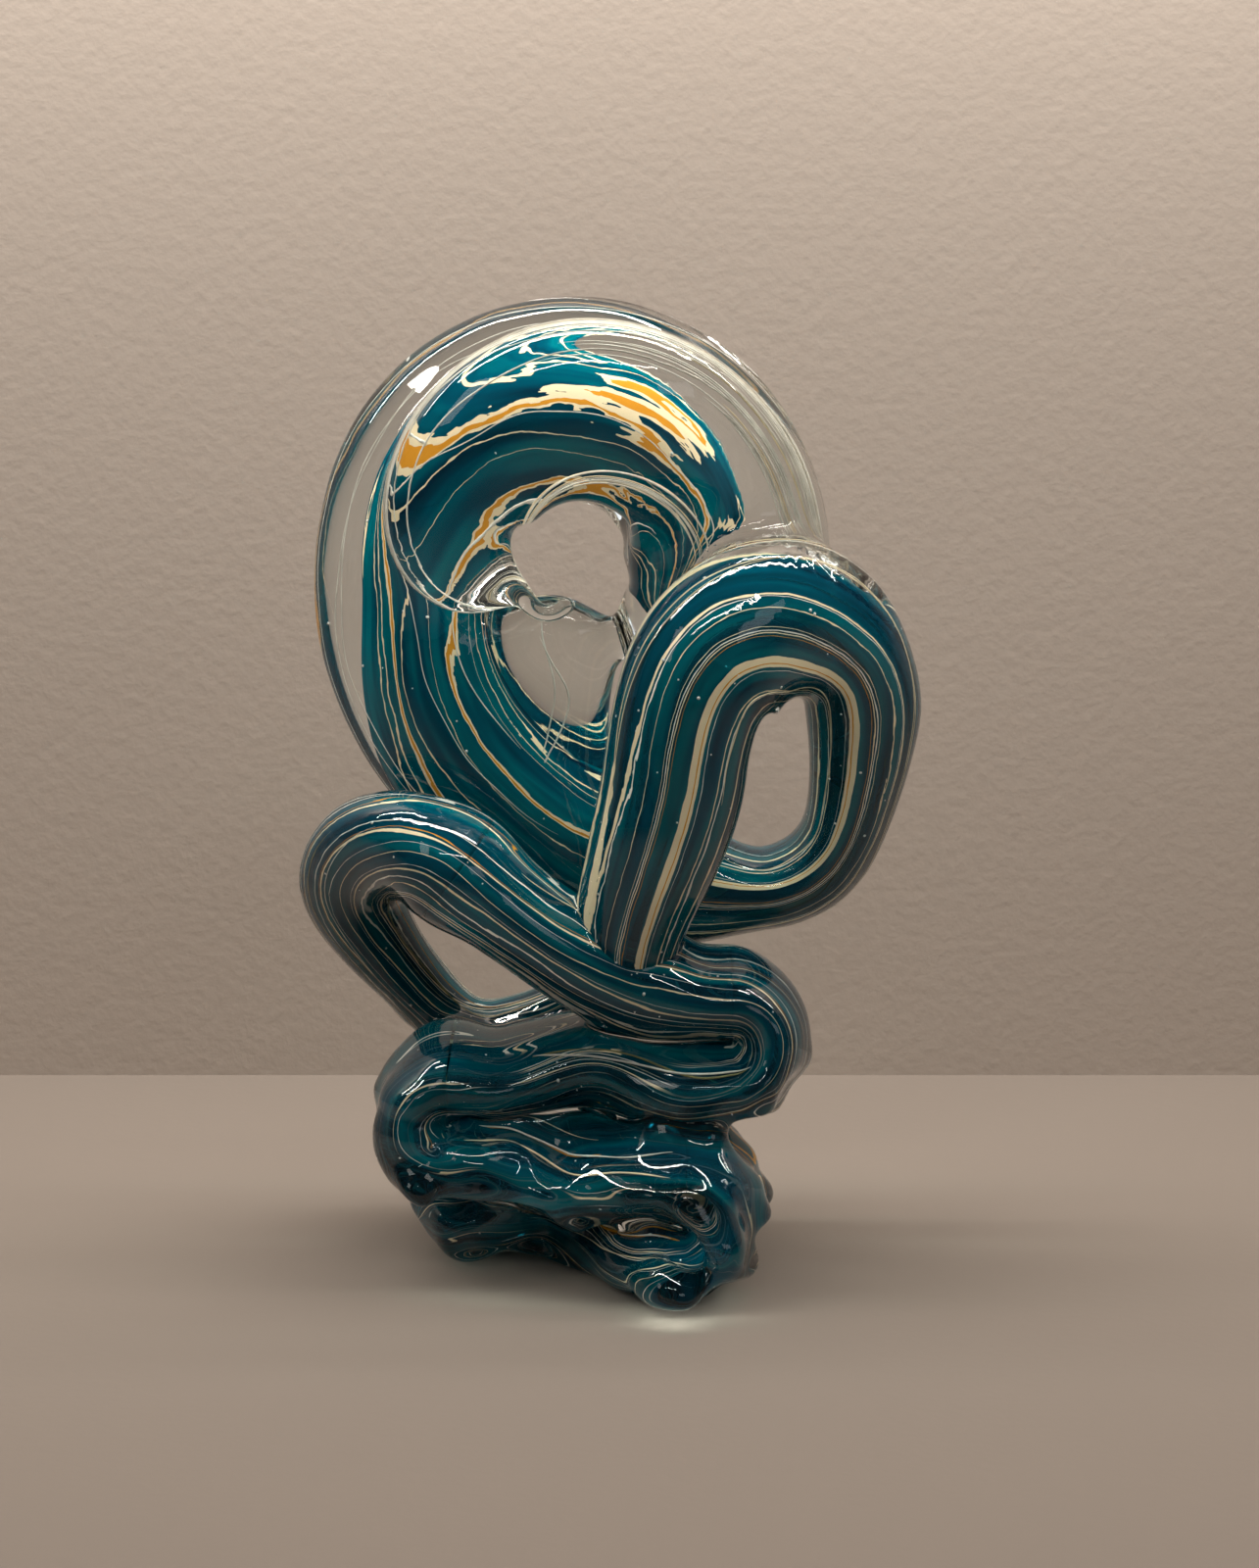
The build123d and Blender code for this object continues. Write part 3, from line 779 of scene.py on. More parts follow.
class Grower:
    """Geometry node trees that make what follows the strand, each with named sizes.

    A thread strays by a noise with its own pitch along the strand and a gap from thread to thread, and
    swells from blunt ends. Each random draw adds its own salt to the seed.
    """

    STRAY_PITCH, STRAY_GAP = 0.02, 7.31
    SWELL, BLUNT = 9.0, 0.15
    SALTS = {"Angle": 11.0, "Depth": 23.0, "Tone": 37.0, "Width": 41.0, "Start": 53.0, "End": 67.0}
    BEAD_SEED = 5

    def __init__(self) -> None:
        """Builds the trees once."""
        self.trees = {"core": self.core_tree(), "thread": self.thread_tree(), "seed": self.seed_tree()}

    @staticmethod
    def begin(name: str, inputs: dict[str, str]) -> tuple[NodeSheet, object]:
        """Starts a tree with its group sockets.

        Args:
            name: The tree's name.
            inputs: Socket names and types, after the geometry.

        Returns:
            The sheet and its inputs, by name.
        """
        tree = bpy.data.node_groups.new(name, "GeometryNodeTree")
        tree.interface.new_socket("Geometry", in_out="INPUT", socket_type="NodeSocketGeometry")
        for label, kind in inputs.items():
            tree.interface.new_socket(label, in_out="INPUT", socket_type="NodeSocket" + kind)
        tree.interface.new_socket("Geometry", in_out="OUTPUT", socket_type="NodeSocketGeometry")
        sheet = NodeSheet(tree)
        return sheet, sheet.add("NodeGroupInput").outputs

    @staticmethod
    def end(sheet: NodeSheet, made: Socket, *dresses: dict[str, Socket]) -> Tree:
        """Ends a tree: what it made is made real, smoothed and dressed.

        Args:
            sheet: The tree.
            made: Its geometry.
            *dresses: Each material's socket, with the faces that it goes on if not on all.

        Returns:
            The finished tree.
        """
        made = sheet.out("GeometryNodeRealizeInstances", {0: made})
        made = sheet.out("GeometryNodeSetShadeSmooth", {0: made})
        for dress in dresses:
            made = sheet.out("GeometryNodeSetMaterial", {"Geometry": made, **dress})
        sheet.add("NodeGroupOutput", {0: made})
        return sheet.tree

    @staticmethod
    def named(sheet: NodeSheet, name: str, kind: str = "FLOAT") -> Socket:
        """A named attribute's socket."""
        return sheet.out("GeometryNodeInputNamedAttribute", {"Name": name}, data_type=kind)

    @staticmethod
    def keep(sheet: NodeSheet, shape: object, name: str, value: object, kind: str = "FLOAT") -> Socket:
        """Stores a value on the points under a name; returns the geometry."""
        values = {"Geometry": shape, "Name": name, "Value": value}
        return sheet.out("GeometryNodeStoreNamedAttribute", values, data_type=kind, domain="POINT")

    def core_tree(self) -> Tree:
        """A tube of oval sections over a guide whose points hold their sizes."""
        sheet, given = self.begin("oval_sweep", {"Around": "Int", "Material": "Material", "Joint": "Material"})
        guide = given["Geometry"]
        rows = sheet.add("GeometryNodeAttributeDomainSize", {0: guide}).outputs["Point Count"]
        columns = sheet.plus(given["Around"], 1.0)
        grid = sheet.out("GeometryNodeMeshGrid", {"Vertices X": rows, "Vertices Y": columns})
        index = sheet.out("GeometryNodeInputIndex")
        row = sheet.math("FLOOR", sheet.math("DIVIDE", sheet.plus(index, 0.5), columns))
        column = sheet.math("SUBTRACT", index, sheet.times(row, columns))
        share = sheet.math("DIVIDE", column, given["Around"])
        angle = sheet.times(share, 2 * math.pi, math.pi / 2)

        def sampled(value: Socket, kind: str = "FLOAT") -> Socket:
            """A guide point's value for each row."""
            values = {"Geometry": guide, "Value": value, "Index": row}
            return sheet.out("GeometryNodeSampleIndex", values, data_type=kind, domain="POINT")

        place = sampled(sheet.out("GeometryNodeInputPosition"), "FLOAT_VECTOR")
        across = sampled(self.named(sheet, "across", "FLOAT_VECTOR"), "FLOAT_VECTOR")
        cosine, sine = sheet.math("COSINE", angle), sheet.math("SINE", angle)
        out = sheet.scaled(across, sheet.times(cosine, sampled(self.named(sheet, "thick"))))
        back = sheet.xyz(Y=sheet.times(sine, sampled(self.named(sheet, "deep"))))
        spot = sheet.moved(sheet.moved(place, out), back)
        shape = self.keep(sheet, grid, "ring", sheet.xyz(X=cosine, Y=sine), "FLOAT_VECTOR")
        for name in ("reach", "cap"):
            shape = self.keep(sheet, shape, name, sampled(self.named(sheet, name)))
        shape = sheet.out("GeometryNodeSetPosition", {"Geometry": shape, "Position": spot})
        shape = sheet.out("GeometryNodeFlipFaces", {0: shape})
        shape = sheet.out("GeometryNodeMergeByDistance", {"Geometry": shape, "Distance": 1e-7})
        closing = {0: self.named(sheet, "cap"), 1: 0.1}
        lid = sheet.out("FunctionNodeCompare", closing, data_type="FLOAT", operation="GREATER_THAN")
        joint = {"Selection": lid, "Material": given["Joint"]}
        return self.end(sheet, shape, {"Material": given["Material"]}, joint)

    def thread_tree(self) -> Tree:
        """Fine threads laid along a guide, each at its own angle and depth in the section."""
        sizes = [f"{size} {end}" for size in ("Angle", "Depth", "Width") for end in ("Low", "High")]
        sizes += ["Wander", "Twist", "Late", "Early"]
        inputs = {"Amount": "Int", "Seed": "Int", **dict.fromkeys(sizes, "Float"), "Material": "Material"}
        sheet, given = self.begin("laid_threads", inputs)
        copies = {"Geometry": sheet.out("GeometryNodeMeshToCurve", {0: given["Geometry"]}), "Amount": given["Amount"]}
        many = sheet.add("GeometryNodeDuplicateElements", copies, domain="SPLINE")
        number = many.outputs["Duplicate Index"]

        def chance(use: str, low: object, high: object) -> Socket:
            """A random number for each thread."""
            values = {2: low, 3: high, "ID": number, "Seed": sheet.plus(given["Seed"], self.SALTS[use])}
            return sheet.add("FunctionNodeRandomValue", values, data_type="FLOAT").outputs[1]

        def within(size: str) -> Socket:
            """A random number for each thread between the ends of a named size."""
            return chance(size, given[size + " Low"], given[size + " High"])

        reach = sheet.times(self.named(sheet, "reach"), self.STRAY_PITCH)
        stray = sheet.vary(sheet.xyz(X=reach, Y=sheet.times(number, self.STRAY_GAP)), 1.0, 1.0)
        stray = sheet.times(sheet.math("SUBTRACT", stray, 0.5), given["Wander"])
        run = sheet.add("GeometryNodeSplineParameter").outputs["Factor"]
        stray = sheet.times(run, given["Twist"], stray)
        angle = sheet.plus(within("Angle"), stray)
        inward = within("Depth")
        wide, deep = (
            sheet.times(sheet.times(self.named(sheet, size), inward), sheet.math(turn, angle))
            for size, turn in (("thick", "COSINE"), ("deep", "SINE"))
        )
        out = sheet.scaled(self.named(sheet, "across", "FLOAT_VECTOR"), wide)
        shift = sheet.moved(out, sheet.xyz(Y=deep))
        lines = sheet.out("GeometryNodeSetPosition", {"Geometry": many.outputs[0], "Offset": shift})
        lines = self.keep(sheet, lines, "tone", chance("Tone", 0.0, 1.0))
        lines = self.keep(sheet, lines, "width", within("Width"))
        limits = {"Start": chance("Start", 0.0, given["Late"]), "End": chance("End", given["Early"], 1.0)}
        lines = sheet.out("GeometryNodeTrimCurve", {"Curve": lines, **limits}, mode="FACTOR")
        share = sheet.add("GeometryNodeSplineParameter").outputs["Factor"]
        nearest = sheet.math("MINIMUM", share, sheet.math("SUBTRACT", 1.0, share))
        swell = sheet.math("MINIMUM", sheet.times(nearest, self.SWELL, self.BLUNT), 1.0)
        full = sheet.times(self.named(sheet, "width"), swell)
        ring = sheet.out("GeometryNodeCurvePrimitiveCircle", {"Resolution": 6, "Radius": 1.0})
        sweep = {"Curve": lines, "Profile Curve": ring, "Scale": full, "Fill Caps": True}
        tube = sheet.out("GeometryNodeCurveToMesh", sweep)
        return self.end(sheet, tube, {"Material": given["Material"]})

    def seed_tree(self) -> Tree:
        """Tiny bubbles scattered over a surface."""
        inputs = {"Density": "Float", "Seed": "Int", "Small": "Float", "Large": "Float", "Material": "Material"}
        sheet, given = self.begin("seeds", inputs)
        values = {"Mesh": given["Geometry"], "Density": given["Density"], "Seed": given["Seed"]}
        spots = sheet.out("GeometryNodeDistributePointsOnFaces", values)
        bead = sheet.out("GeometryNodeMeshIcoSphere", {"Radius": 1.0, "Subdivisions": 2})
        limits = {2: given["Small"], 3: given["Large"], "Seed": self.BEAD_SEED}
        size = sheet.add("FunctionNodeRandomValue", limits, data_type="FLOAT").outputs[1]
        dots = sheet.out("GeometryNodeInstanceOnPoints", {"Points": spots, "Instance": bead, "Scale": size})
        return self.end(sheet, dots, {"Material": given["Material"]})

    def grow(self, tree: str, name: str, guide: Mesh, settings: dict[str, object]) -> Piece:
        """Runs a tree over a guide and keeps the result as a plain mesh.

        Args:
            tree: Which tree.
            name: The piece's name.
            guide: The mesh that it follows.
            settings: Values for its named inputs.

        Returns:
            The piece.
        """
        piece = put(name, guide)
        nodes = piece.modifiers.new(tree, "NODES")
        nodes.node_group = self.trees[tree]
        for item in self.trees[tree].interface.items_tree:
            if item.in_out == "INPUT" and item.name in settings:
                nodes[item.identifier] = settings[item.name]
        made = bpy.data.meshes.new_from_object(piece.evaluated_get(bpy.context.evaluated_depsgraph_get()))
        piece.modifiers.clear()
        piece.data = made
        made.name = name
        LOG.info("%s: %d faces", name, len(made.polygons))
        return piece


def guide_mesh(name: str, body: Stations, cap: Array | None = None) -> Mesh:
    """A polyline whose points hold the sizes of their sections.

    Args:
        name: The mesh's name.
        body: The sections.
        cap: 1 at the points that close an end, if any.

    Returns:
        The polyline, in metres.
    """
    mesh = bpy.data.meshes.new(name)
    count = len(body.reach)
    mesh.from_pydata((body.centre * MM).tolist(), [(i, i + 1) for i in range(count - 1)], [])
    across = mesh.attributes.new("across", "FLOAT_VECTOR", "POINT")
    across.data.foreach_set("vector", body.across.astype(np.float32).ravel())
    cap = np.zeros(count) if cap is None else cap
    for label, values in (("thick", body.thick * MM), ("deep", body.deep * MM), ("reach", body.reach), ("cap", cap)):
        mesh.attributes.new(label, "FLOAT", "POINT").data.foreach_set("value", np.asarray(values, np.float32))
    return mesh


@dataclass(frozen=True)
class Core:
    """The coloured glass inside a fold: how full it is, how far it is pushed across, and where it ends."""

    ratio: Profile
    shift: Profile = Profile(((0, 0.0), (1, 0.0)))
    span: Span = (0.0, 1.0)
    round_start: bool = False
    round_end: bool = False
    sway: float = 0.0
    sway_length: float = 9.0
    deepest: float = 0.82
    count: int = 150

    def guide(self, strand: Strand, begin: float) -> Mesh:
        """The core's guide, with a closing point at each end.

        Args:
            strand: The fold that it lies in.
            begin: Length of the strand before this fold.

        Returns:
            The guide.
        """
        body = strand.stations(self.count, self.span)
        share = np.linspace(*self.span, self.count)
        ratio = self.ratio.at(share)
        thick, deep = body.thick * ratio, body.deep * np.minimum(ratio, self.deepest)
        factor = np.ones(self.count)
        for wanted, gone, nose in (
            (self.round_start, body.reach, thick[0]),
            (self.round_end, body.reach[-1] - body.reach, thick[-1]),
        ):
            if wanted:
                factor *= np.sqrt(np.clip(1 - (1 - np.clip(gone / nose, 0, 1)) ** 2, 0.0004, 1))
        order = np.concatenate([[0], np.arange(self.count), [self.count - 1]])
        size = np.concatenate([[0.0], factor, [0.0]])
        cap = np.zeros(len(order))
        cap[0] = cap[-1] = 1
        drift = self.sway * np.sin(math.pi * share) * np.sin(body.reach / self.sway_length) + self.shift.at(share)
        centre = body.centre + body.across * (drift * factor)[:, None]
        along, across, reach = body.along[order], body.across[order], body.reach[order] + begin
        closed = Stations(centre[order], along, across, thick[order] * size, deep[order] * size, reach)
        return guide_mesh(strand.name, closed, cap)


@dataclass(frozen=True)
class Lay:
    """Threads laid in a fold: how many, where round the section and how deep, how thick and how straight."""

    amount: int
    angle: Span = (0.0, 2 * math.pi)
    depth: Span = (0.83, 0.93)
    width: Span = (0.12, 0.35)
    wander: float = 0.6
    twist: float = 0.0
    trim: Span = (0.25, 0.75)
    span: Span = (0.03, 0.97)

    def settings(self) -> dict[str, float]:
        """Values for the thread tree's named inputs."""
        pairs = {"Angle": self.angle, "Depth": self.depth, "Width": (self.width[0] * MM, self.width[1] * MM)}
        values = {f"{name} {end}": value for name, pair in pairs.items() for end, value in zip(("Low", "High"), pair)}
        values |= {"Amount": self.amount, "Wander": self.wander, "Twist": self.twist}
        return values | {"Late": self.trim[0], "Early": self.trim[1]}


@dataclass(frozen=True)
class ClearGlass:
    """Fire-polished clear glass with a faint drawn ripple; it lets the lamps through to the colour inside."""

    name: str = "clear_glass"
    tint: Colour = (0.93, 0.965, 0.96, 1.0)
    shade: Colour = (0.86, 0.92, 0.91, 1.0)
    ripple: float = 0.008

    def make(self) -> Material:
        """Builds the material."""
        sheet = Finish(self.name)
        wave = sheet.vary(sheet.place(), 55.0, 1.5)
        bump = sheet.out("ShaderNodeBump", {"Strength": self.ripple, "Distance": 0.01, "Height": wave})
        rough = sheet.spread(sheet.vary(sheet.place(), 18.0, 3.0), (0.45, 0.8), (0.0, 0.03))
        glass = sheet.solid(self.tint, rough, Transmission_Weight=1.0, IOR=1.5, Normal=bump)
        ray = sheet.add("ShaderNodeLightPath").outputs["Is Shadow Ray"]
        return sheet.done(sheet.blend(ray, glass, sheet.through(self.shade)))


@dataclass(frozen=True)
class FusedJoint:
    """The inside of a melted joint, where nothing shows."""

    name: str = "fused_joint"

    def make(self) -> Material:
        """Builds the material."""
        sheet = Finish(self.name)
        return sheet.done(sheet.through())


@dataclass(frozen=True)
class StreakedGlass:
    """Coloured glass drawn out along the strand: a body that shifts between teals, with lines laid in it.

    lines are (place across the strand from 0 to 1, width, colour). warp bends them, and feather breaks
    their edges, and where run is low they come and go. warp, thin, full and run are each a pair: before
    and after the stretch of the strand in ease. Each noise has its turns round the strand, its stretch
    along it and its detail.
    """

    FINE = (9.0, 0.12, 2.0)
    PATCHES = (1.9, 0.021, 1.0)
    SHIFTS = (3.2, 0.012, 2.0)
    DENSITY = (2.1, 0.009, 2.0)

    name: str
    lines: Lines
    thin: Span
    full: Span
    warp: Span = (0.09, 0.09)
    ease: Span = (0.0, 1.0)
    run: Span = (1.0, 1.0)
    body: tuple[tuple[float, Colour], ...] = ((0.25, NAVY), (0.48, TEAL), (0.62, SEA), (0.75, TEAL))
    tint: Colour = (0.16, 0.50, 0.55, 1.0)
    feather: float = 0.012
    stretch: float = 0.006
    turns: float = 1.6
    skew: float = 0.12

    def make(self) -> Material:
        """Builds the material."""
        sheet = Finish(self.name)
        ring = sheet.kept("ring", "Vector")
        reach = sheet.kept("reach", "Fac")
        parts = sheet.add("ShaderNodeSeparateXYZ", {0: ring})

        def noise(turns: float, stretch: float, detail: float) -> Socket:
            """Noise round the strand, drawn out along it, about 0."""
            spot = sheet.moved(sheet.scaled(ring, turns), sheet.xyz(Z=sheet.times(reach, stretch)))
            return sheet.math("SUBTRACT", sheet.vary(spot, 1.0, detail), 0.5)

        def along(pair: Span) -> Socket:
            """A value that eases from one to another along the strand."""
            return sheet.spread(reach, self.ease, pair, interpolation_type="SMOOTHSTEP")

        place = sheet.times(parts.outputs["X"], 0.45, 0.5)
        place = sheet.times(parts.outputs["Y"], self.skew, place)
        bend = sheet.times(along(self.warp), 2.0)
        place = sheet.times(noise(self.turns, self.stretch, 1.0), bend, place)
        place = sheet.times(noise(*self.FINE), 2 * self.feather, place)
        stops = [(0.0, NOTHING)]
        for spot, width, colour in sorted(self.lines):
            stops += [(spot, colour), (spot + width, NOTHING)]
        line = sheet.ramp(place, stops, "CONSTANT")
        patchy = sheet.spread(noise(*self.PATCHES), (0.0, 0.06))
        shown = sheet.times(sheet.math("MAXIMUM", patchy, along(self.run)), line.outputs["Alpha"])
        body = sheet.ramp(sheet.plus(noise(*self.SHIFTS), 0.5), list(self.body))
        mixed = {"Factor": shown, 6: body.outputs["Color"], 7: line.outputs["Color"]}
        hue = sheet.add("ShaderNodeMix", mixed, data_type="RGBA").outputs[2]
        dense = sheet.spread(noise(*self.DENSITY), (-0.2, 0.2), (along(self.thin), along(self.full)))
        solid = sheet.solid(hue, 0.6, Specular_IOR_Level=0.0)
        return sheet.done(sheet.blend(sheet.math("MAXIMUM", dense, shown), sheet.through(self.tint), solid))


@dataclass(frozen=True)
class ThreadGlass:
    """Cream, white and amber threads, uneven along their length."""

    name: str = "cream_threads"
    tones: tuple[tuple[float, Colour], ...] = ((0.0, CREAM), (0.5, WHITE), (0.84, AMBER), (0.93, OLIVE))

    def make(self) -> Material:
        """Builds the material."""
        sheet = Finish(self.name)
        tone = sheet.kept("tone", "Fac")
        colour = sheet.ramp(tone, list(self.tones), "CONSTANT").outputs["Color"]
        worn = sheet.spread(sheet.vary(sheet.place(), 160.0), (0.3, 0.7), (0.72, 1.0))
        mixed = {"Factor": 1.0, 6: colour, 7: worn}
        hue = sheet.add("ShaderNodeMix", mixed, data_type="RGBA", blend_type="MULTIPLY").outputs[2]
        return sheet.done(sheet.solid(hue, 0.45, Specular_IOR_Level=0.1))


@dataclass(frozen=True)
class SeedPaintedReflection:
    """A tiny bubble, its silvery reflection painted on as a pale, flecked grey."""

    name: str = "seed_bubbles"

    def make(self) -> Material:
        """Builds the material."""
        sheet = Finish(self.name)
        reflection_fleck = sheet.vary(sheet.place(), 900.0)
        # painted reflection: two pale greys stand in for the light that a bubble's inner wall reflects
        hue = sheet.ramp(reflection_fleck, [(0.35, (0.55, 0.56, 0.54, 1.0)), (0.65, (0.85, 0.84, 0.8, 1.0))]).outputs["Color"]
        return sheet.done(sheet.solid(hue, 0.2))


@dataclass(frozen=True)
class Studio:
    """A plain pale floor and wall, soft lamps overhead and the camera."""

    wall_y: float = 0.19
    eye: Place = (0.01575, -0.7902, 0.2691)
    aim: Place = (0.01575, 0.0, 0.144)
    wall_paint: Colour = (0.505, 0.432, 0.377, 1.0)
    floor_paint: Colour = (0.255, 0.214, 0.184, 1.0)

    def plain(self, name: str, paint_colour: Colour, one_sided: bool) -> Material:
        """A matt painted surface.

        Args:
            name: The material's name.
            paint_colour: Its colour.
            one_sided: Whether it shows from its front only.

        Returns:
            The material.
        """
        sheet = Finish(name)
        grain = sheet.vary(sheet.place(), 260.0, 3.0)
        strength = 0.12 if one_sided else 0.04
        bump = sheet.out("ShaderNodeBump", {"Strength": strength, "Distance": 0.002, "Height": grain})
        surface = sheet.solid(paint_colour, 0.75, Specular_IOR_Level=0.2, Normal=bump)
        if one_sided:
            behind = sheet.add("ShaderNodeNewGeometry").outputs["Backfacing"]
            surface = sheet.blend(behind, surface, sheet.through())
        return sheet.done(surface)

    def sheet_of(self, name: str, corners: list[tuple], paint_colour: Colour, one_sided: bool) -> None:
        """Adds a flat stage sheet with the given corners."""
        mesh = bpy.data.meshes.new(name)
        mesh.from_pydata(corners, [], [tuple(range(len(corners)))])
        mesh.materials.append(self.plain(name, paint_colour, one_sided))
        put(name, mesh)

    def lamp(self, name: str, place: tuple, aim: tuple, size: Span, power: float, colour: tuple) -> None:
        """Adds a rectangular lamp.

        Args:
            name: Its name.
            place: Where it is.
            aim: What it points at.
            size: Its width and height.
            power: Its power in watts.
            colour: Its colour.
        """
        light = bpy.data.lights.new(name, "AREA")
        light.shape, light.size, light.size_y = "RECTANGLE", *size
        light.energy, light.color = power, colour
        body = bpy.data.objects.new(name, light)
        body.location = place
        way = Vector(aim) - Vector(place)
        body.rotation_euler = way.to_track_quat("-Z", "Y").to_euler()
        bpy.context.scene.collection.objects.link(body)

    def build(self) -> None:
        """Sets up the stage, the lamps, the world and the camera."""
        wide, front, back, tall = 3.0, -3.0, self.wall_y, 2.5
        floor = [(-wide, front, 0), (wide, front, 0), (wide, back, 0), (-wide, back, 0)]
        self.sheet_of("floor", floor, self.floor_paint, False)
        wall = [(-wide, back, 0), (wide, back, 0), (wide, back, tall), (-wide, back, tall)]
        self.sheet_of("wall", wall, self.wall_paint, True)
        warm = (1.0, 0.95, 0.88)
        self.lamp("ceiling_strip", (-0.05, -0.03, 0.86), (-0.05, 0.0, 0.0), (1.2, 0.05), 5.5, warm)
        self.lamp("wall_strip", (0.0, 0.10, 0.70), (0.0, 0.19, 0.60), (1.6, 0.04), 6.5, warm)
        self.lamp("front_strip", (0.1, -0.75, 0.95), (0.0, 0.0, 0.1), (0.9, 0.03), 2.2, warm)
        self.lamp("window_left", (-1.1, -0.9, 1.2), (0, 0, 0.2), (0.35, 0.6), 1.4, warm)
        self.lamp("fill_right", (1.2, -1.3, 0.9), (0, 0, 0.12), (0.6, 0.4), 0.9, (0.95, 0.97, 1.0))
        world = bpy.data.worlds.new("room")
        world.use_nodes = True
        light = world.node_tree.nodes["Background"].inputs
        light["Color"].default_value, light["Strength"].default_value = (0.75, 0.71, 0.66, 1.0), 0.04
        bpy.context.scene.world = world
        camera = bpy.data.objects.new("camera", bpy.data.cameras.new("camera"))
        camera.data.lens, camera.data.sensor_width = 60, 36
        camera.location = self.eye
        camera.rotation_euler = (Vector(self.aim) - Vector(self.eye)).to_track_quat("-Z", "Y").to_euler()
        bpy.context.scene.collection.objects.link(camera)
        bpy.context.scene.camera = camera
        bpy.context.scene.view_settings.view_transform = "Standard"
        cycles = bpy.context.scene.cycles
        cycles.max_bounces, cycles.transmission_bounces, cycles.transparent_max_bounces = 24, 20, 32


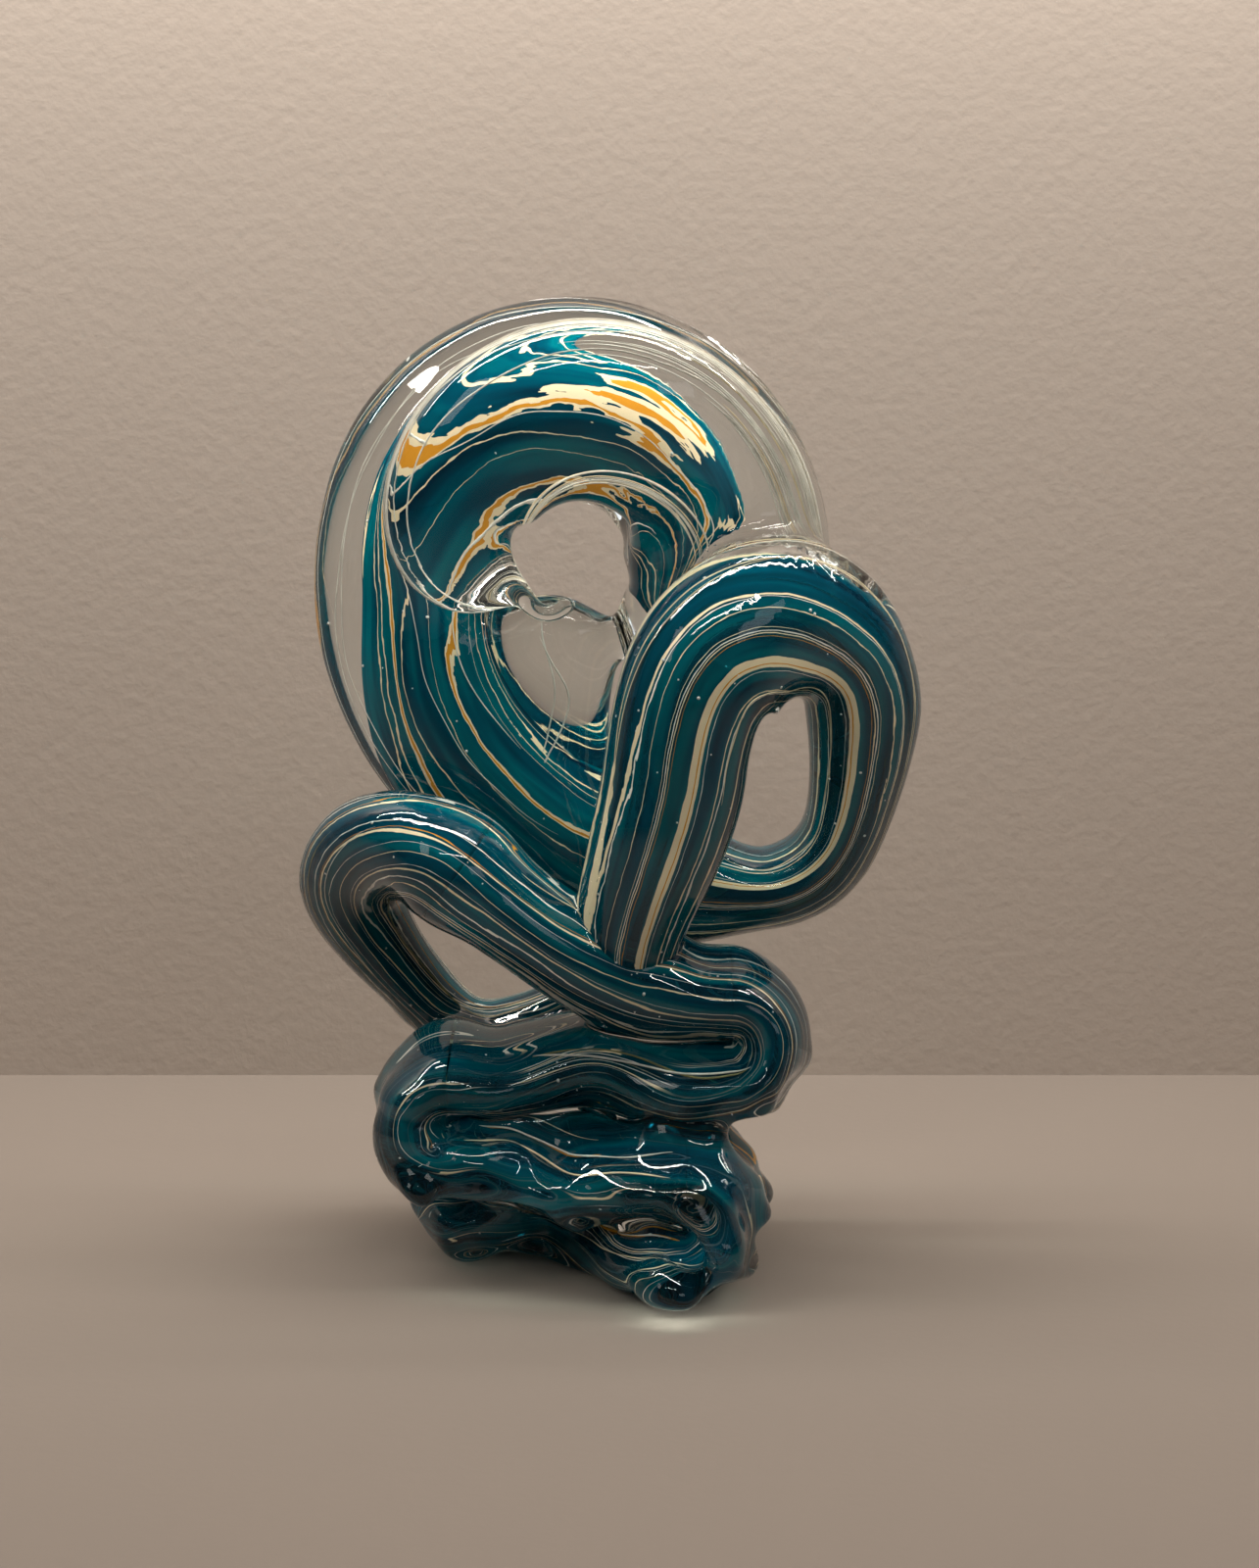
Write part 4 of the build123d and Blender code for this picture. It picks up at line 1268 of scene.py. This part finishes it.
@dataclass
class Ornament:
    """The whole ornament: its folds, its glasses and the pieces made from them."""

    SIDES = 72
    FOOT_GAP = 0.8 * MM
    LENGTH_STATIONS, THREAD_STATIONS = 121, 160
    SEEDS = {"Density": 1900.0, "Small": 0.22 * MM, "Large": 0.5 * MM}

    base: Base = field(default_factory=Base)
    grower: Grower = field(default_factory=Grower)
    pieces: int = 0

    def __post_init__(self) -> None:
        """Lays out the folds in the order they are put down."""
        crest = Crest()
        curls = Curls(self.base, crest)
        self.strands = self.base.strands() + curls.strands() + crest.strands()
        lengths = [strand.stations(self.LENGTH_STATIONS).reach[-1] for strand in self.strands]
        self.begins = dict(zip((s.name for s in self.strands), np.concatenate([[0], np.cumsum(lengths)])))

    def keep(self, piece: Piece, slot: Slot, *nodes: str) -> None:
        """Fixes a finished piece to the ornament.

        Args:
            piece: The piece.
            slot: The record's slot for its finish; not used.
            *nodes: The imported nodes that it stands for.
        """
        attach(piece, "root")
        if nodes:
            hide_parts(*nodes)
        self.pieces += 1
        LOG.info("kept %s", piece.name)

    def casings(self) -> None:
        """The clear glass of every fold."""
        glasses = [ClearGlass().make(), FusedJoint().make()]
        self.joint = glasses[1]
        skin = FusedSkin(self.strands)
        for index, strand in enumerate(self.strands):
            self.keep(skin.piece(index, glasses), Slot.CLEAR, strand.name + "_casing")

    def cores(self) -> None:
        """The coloured glass of every fold that has some."""
        climb = (self.begins["third_fold"] + 60, self.begins["lower_wave"] + 40)
        curl = StreakedGlass("curl_glass", CURL_LINES, (0.6, 0.6), (0.96, 0.96))
        crest = StreakedGlass(
            "crest_glass", CREST_LINES, (0.92, 0.92), (1.0, 1.0), (0.2, 0.2), feather=0.02, stretch=0.01
        )
        swing = StreakedGlass(
            "swing_glass", SWING_LINES, (0.5, 0.74), (0.85, 0.96), (0.34, 0.12), climb, (0.06, 1.0),
            stretch=0.016, tint=(0.06, 0.44, 0.54, 1.0),
        )
        nearly, broad = Profile(((0, 0.84), (1, 0.84))), Profile(((0, 0.8), (1, 0.8)))
        clear_top = Profile(((0, 0.8), (0.3, 0.8), (0.48, 0.72), (0.65, 0.8), (1, 0.8)))
        pressed = Profile(((0, 0.0), (0.3, 0.0), (0.48, 3.5), (0.65, 0.0), (1, 0.0)))
        full_arch = Profile(((0, 0.88), (0.1, 0.84), (0.28, 0.64), (0.58, 0.48), (0.85, 0.37), (1, 0.3)))
        inward = Profile(((0, 0.0), (0.1, 2.0), (0.28, 8.0), (0.58, 9.0), (0.85, 6.5), (1, 5.0)))
        looks = {
            "foot_fold": (Core(nearly, round_start=True, sway=2.0), swing),
            "second_fold": (Core(nearly, sway=2.0), swing),
            "third_fold": (Core(Profile(((0, 0.86), (1, 0.8))), sway=1.5), swing),
            "lower_wave": (Core(broad), swing),
            "left_curl": (Core(broad, span=(0.0, 0.9), round_end=True), swing),
            "right_curl": (Core(clear_top, pressed), curl),
            "crest_loop": (Core(full_arch, inward, span=(0.0, 0.95), round_end=True), crest),
        }
        made = {finish.name: finish.make() for _, finish in looks.values()}
        # painted reflection: the seed bubbles are painted pale grey for the light they reflect
        seeds = SeedPaintedReflection().make()
        for strand in self.strands:
            if strand.name in looks:
                core, finish = looks[strand.name]
                settings = {"Around": self.SIDES, "Material": made[finish.name], "Joint": self.joint}
                guide = core.guide(strand, self.begins[strand.name])
                piece = self.grower.grow("core", strand.name + "_colour", guide, settings)
                press_flat(piece.data, self.FOOT_GAP)
                self.keep(piece, Slot.TEAL, strand.name + "_core")
                scatter = {**self.SEEDS, "Seed": len(strand.name), "Material": seeds}
                self.keep(self.grower.grow("seed", strand.name + "_seeds", piece.data.copy(), scatter), Slot.CREAM)

    def threads(self) -> None:
        """The cream threads of every fold."""
        material = ThreadGlass().make()
        milky = ThreadGlass("milky_threads", ((0.0, WHITE), (0.55, CREAM), (0.8, WHITE))).make()
        front = -math.pi / 2
        loose = [Lay(7, depth=(0.85, 0.9), width=(0.12, 0.4), wander=1.0, twist=0.5)]
        lays = {
            "foot_fold": [Lay(7, (1.9, 4.4), (0.85, 0.9), (0.12, 0.4), wander=1.0)],
            "second_fold": loose,
            "third_fold": loose,
            "lower_wave": [Lay(6, width=(0.1, 0.3), wander=1.0)],
            "left_curl": [Lay(8)],
            "right_curl": [Lay(7)],
            "crest_loop": [Lay(5, (3.4, 5.6), (0.9, 0.95), (0.12, 0.22), wander=0.5)],
            "crest_tail": [
                Lay(20, (-0.25, 0.05), (0.90, 0.95), (0.16, 0.34), wander=0.05, trim=(0.0, 1.0)),
                Lay(34, (-0.95, 0.0), (0.88, 0.95), (0.14, 0.3), wander=0.08, trim=(0.0, 0.3), span=(0.03, 0.42)),
                Lay(9, (front - 0.4, front - 0.2), (0.88, 0.94), (0.16, 0.3), wander=0.05, twist=-1.5, trim=(0.0, 1.0)),
                Lay(2, (0.4, 0.9), (0.6, 0.8), (0.12, 0.2), wander=0.8),
            ],
            # the web's two wandering milky threads are partly real threads run on from the tail, partly painted
            # reflection: the bright wavy lines that the web's seam reflects, laid in as thread
            "crest_web": [Lay(2, (front - 0.5, front + 0.5), (0.3, 0.6), (0.16, 0.3), wander=5.0, twist=1.2)],
        }
        for seed, strand in enumerate(self.strands):
            for turn, lay in enumerate(lays[strand.name]):
                body = strand.stations(self.THREAD_STATIONS, lay.span)
                body.reach = body.reach + self.begins[strand.name]
                dress = milky if strand.name.startswith("crest") else material
                settings = {"Seed": 100 * seed + 7 * turn, "Material": dress, **lay.settings()}
                name = f"{strand.name}_threads_{turn}"
                piece = self.grower.grow("thread", name, guide_mesh(name, body), settings)
                self.keep(piece, Slot.CREAM, *([strand.name + "_canes"] if turn == 0 else []))

    def build(self) -> None:
        """Makes every piece."""
        self.casings()
        self.cores()
        self.threads()


def main() -> None:
    """Builds the ornament and its studio."""
    logging.basicConfig(level=logging.INFO, format="%(name)s: %(message)s")
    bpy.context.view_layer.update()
    Studio().build()
    ornament = Ornament()
    ornament.build()


if __name__ == "__main__":
    main()
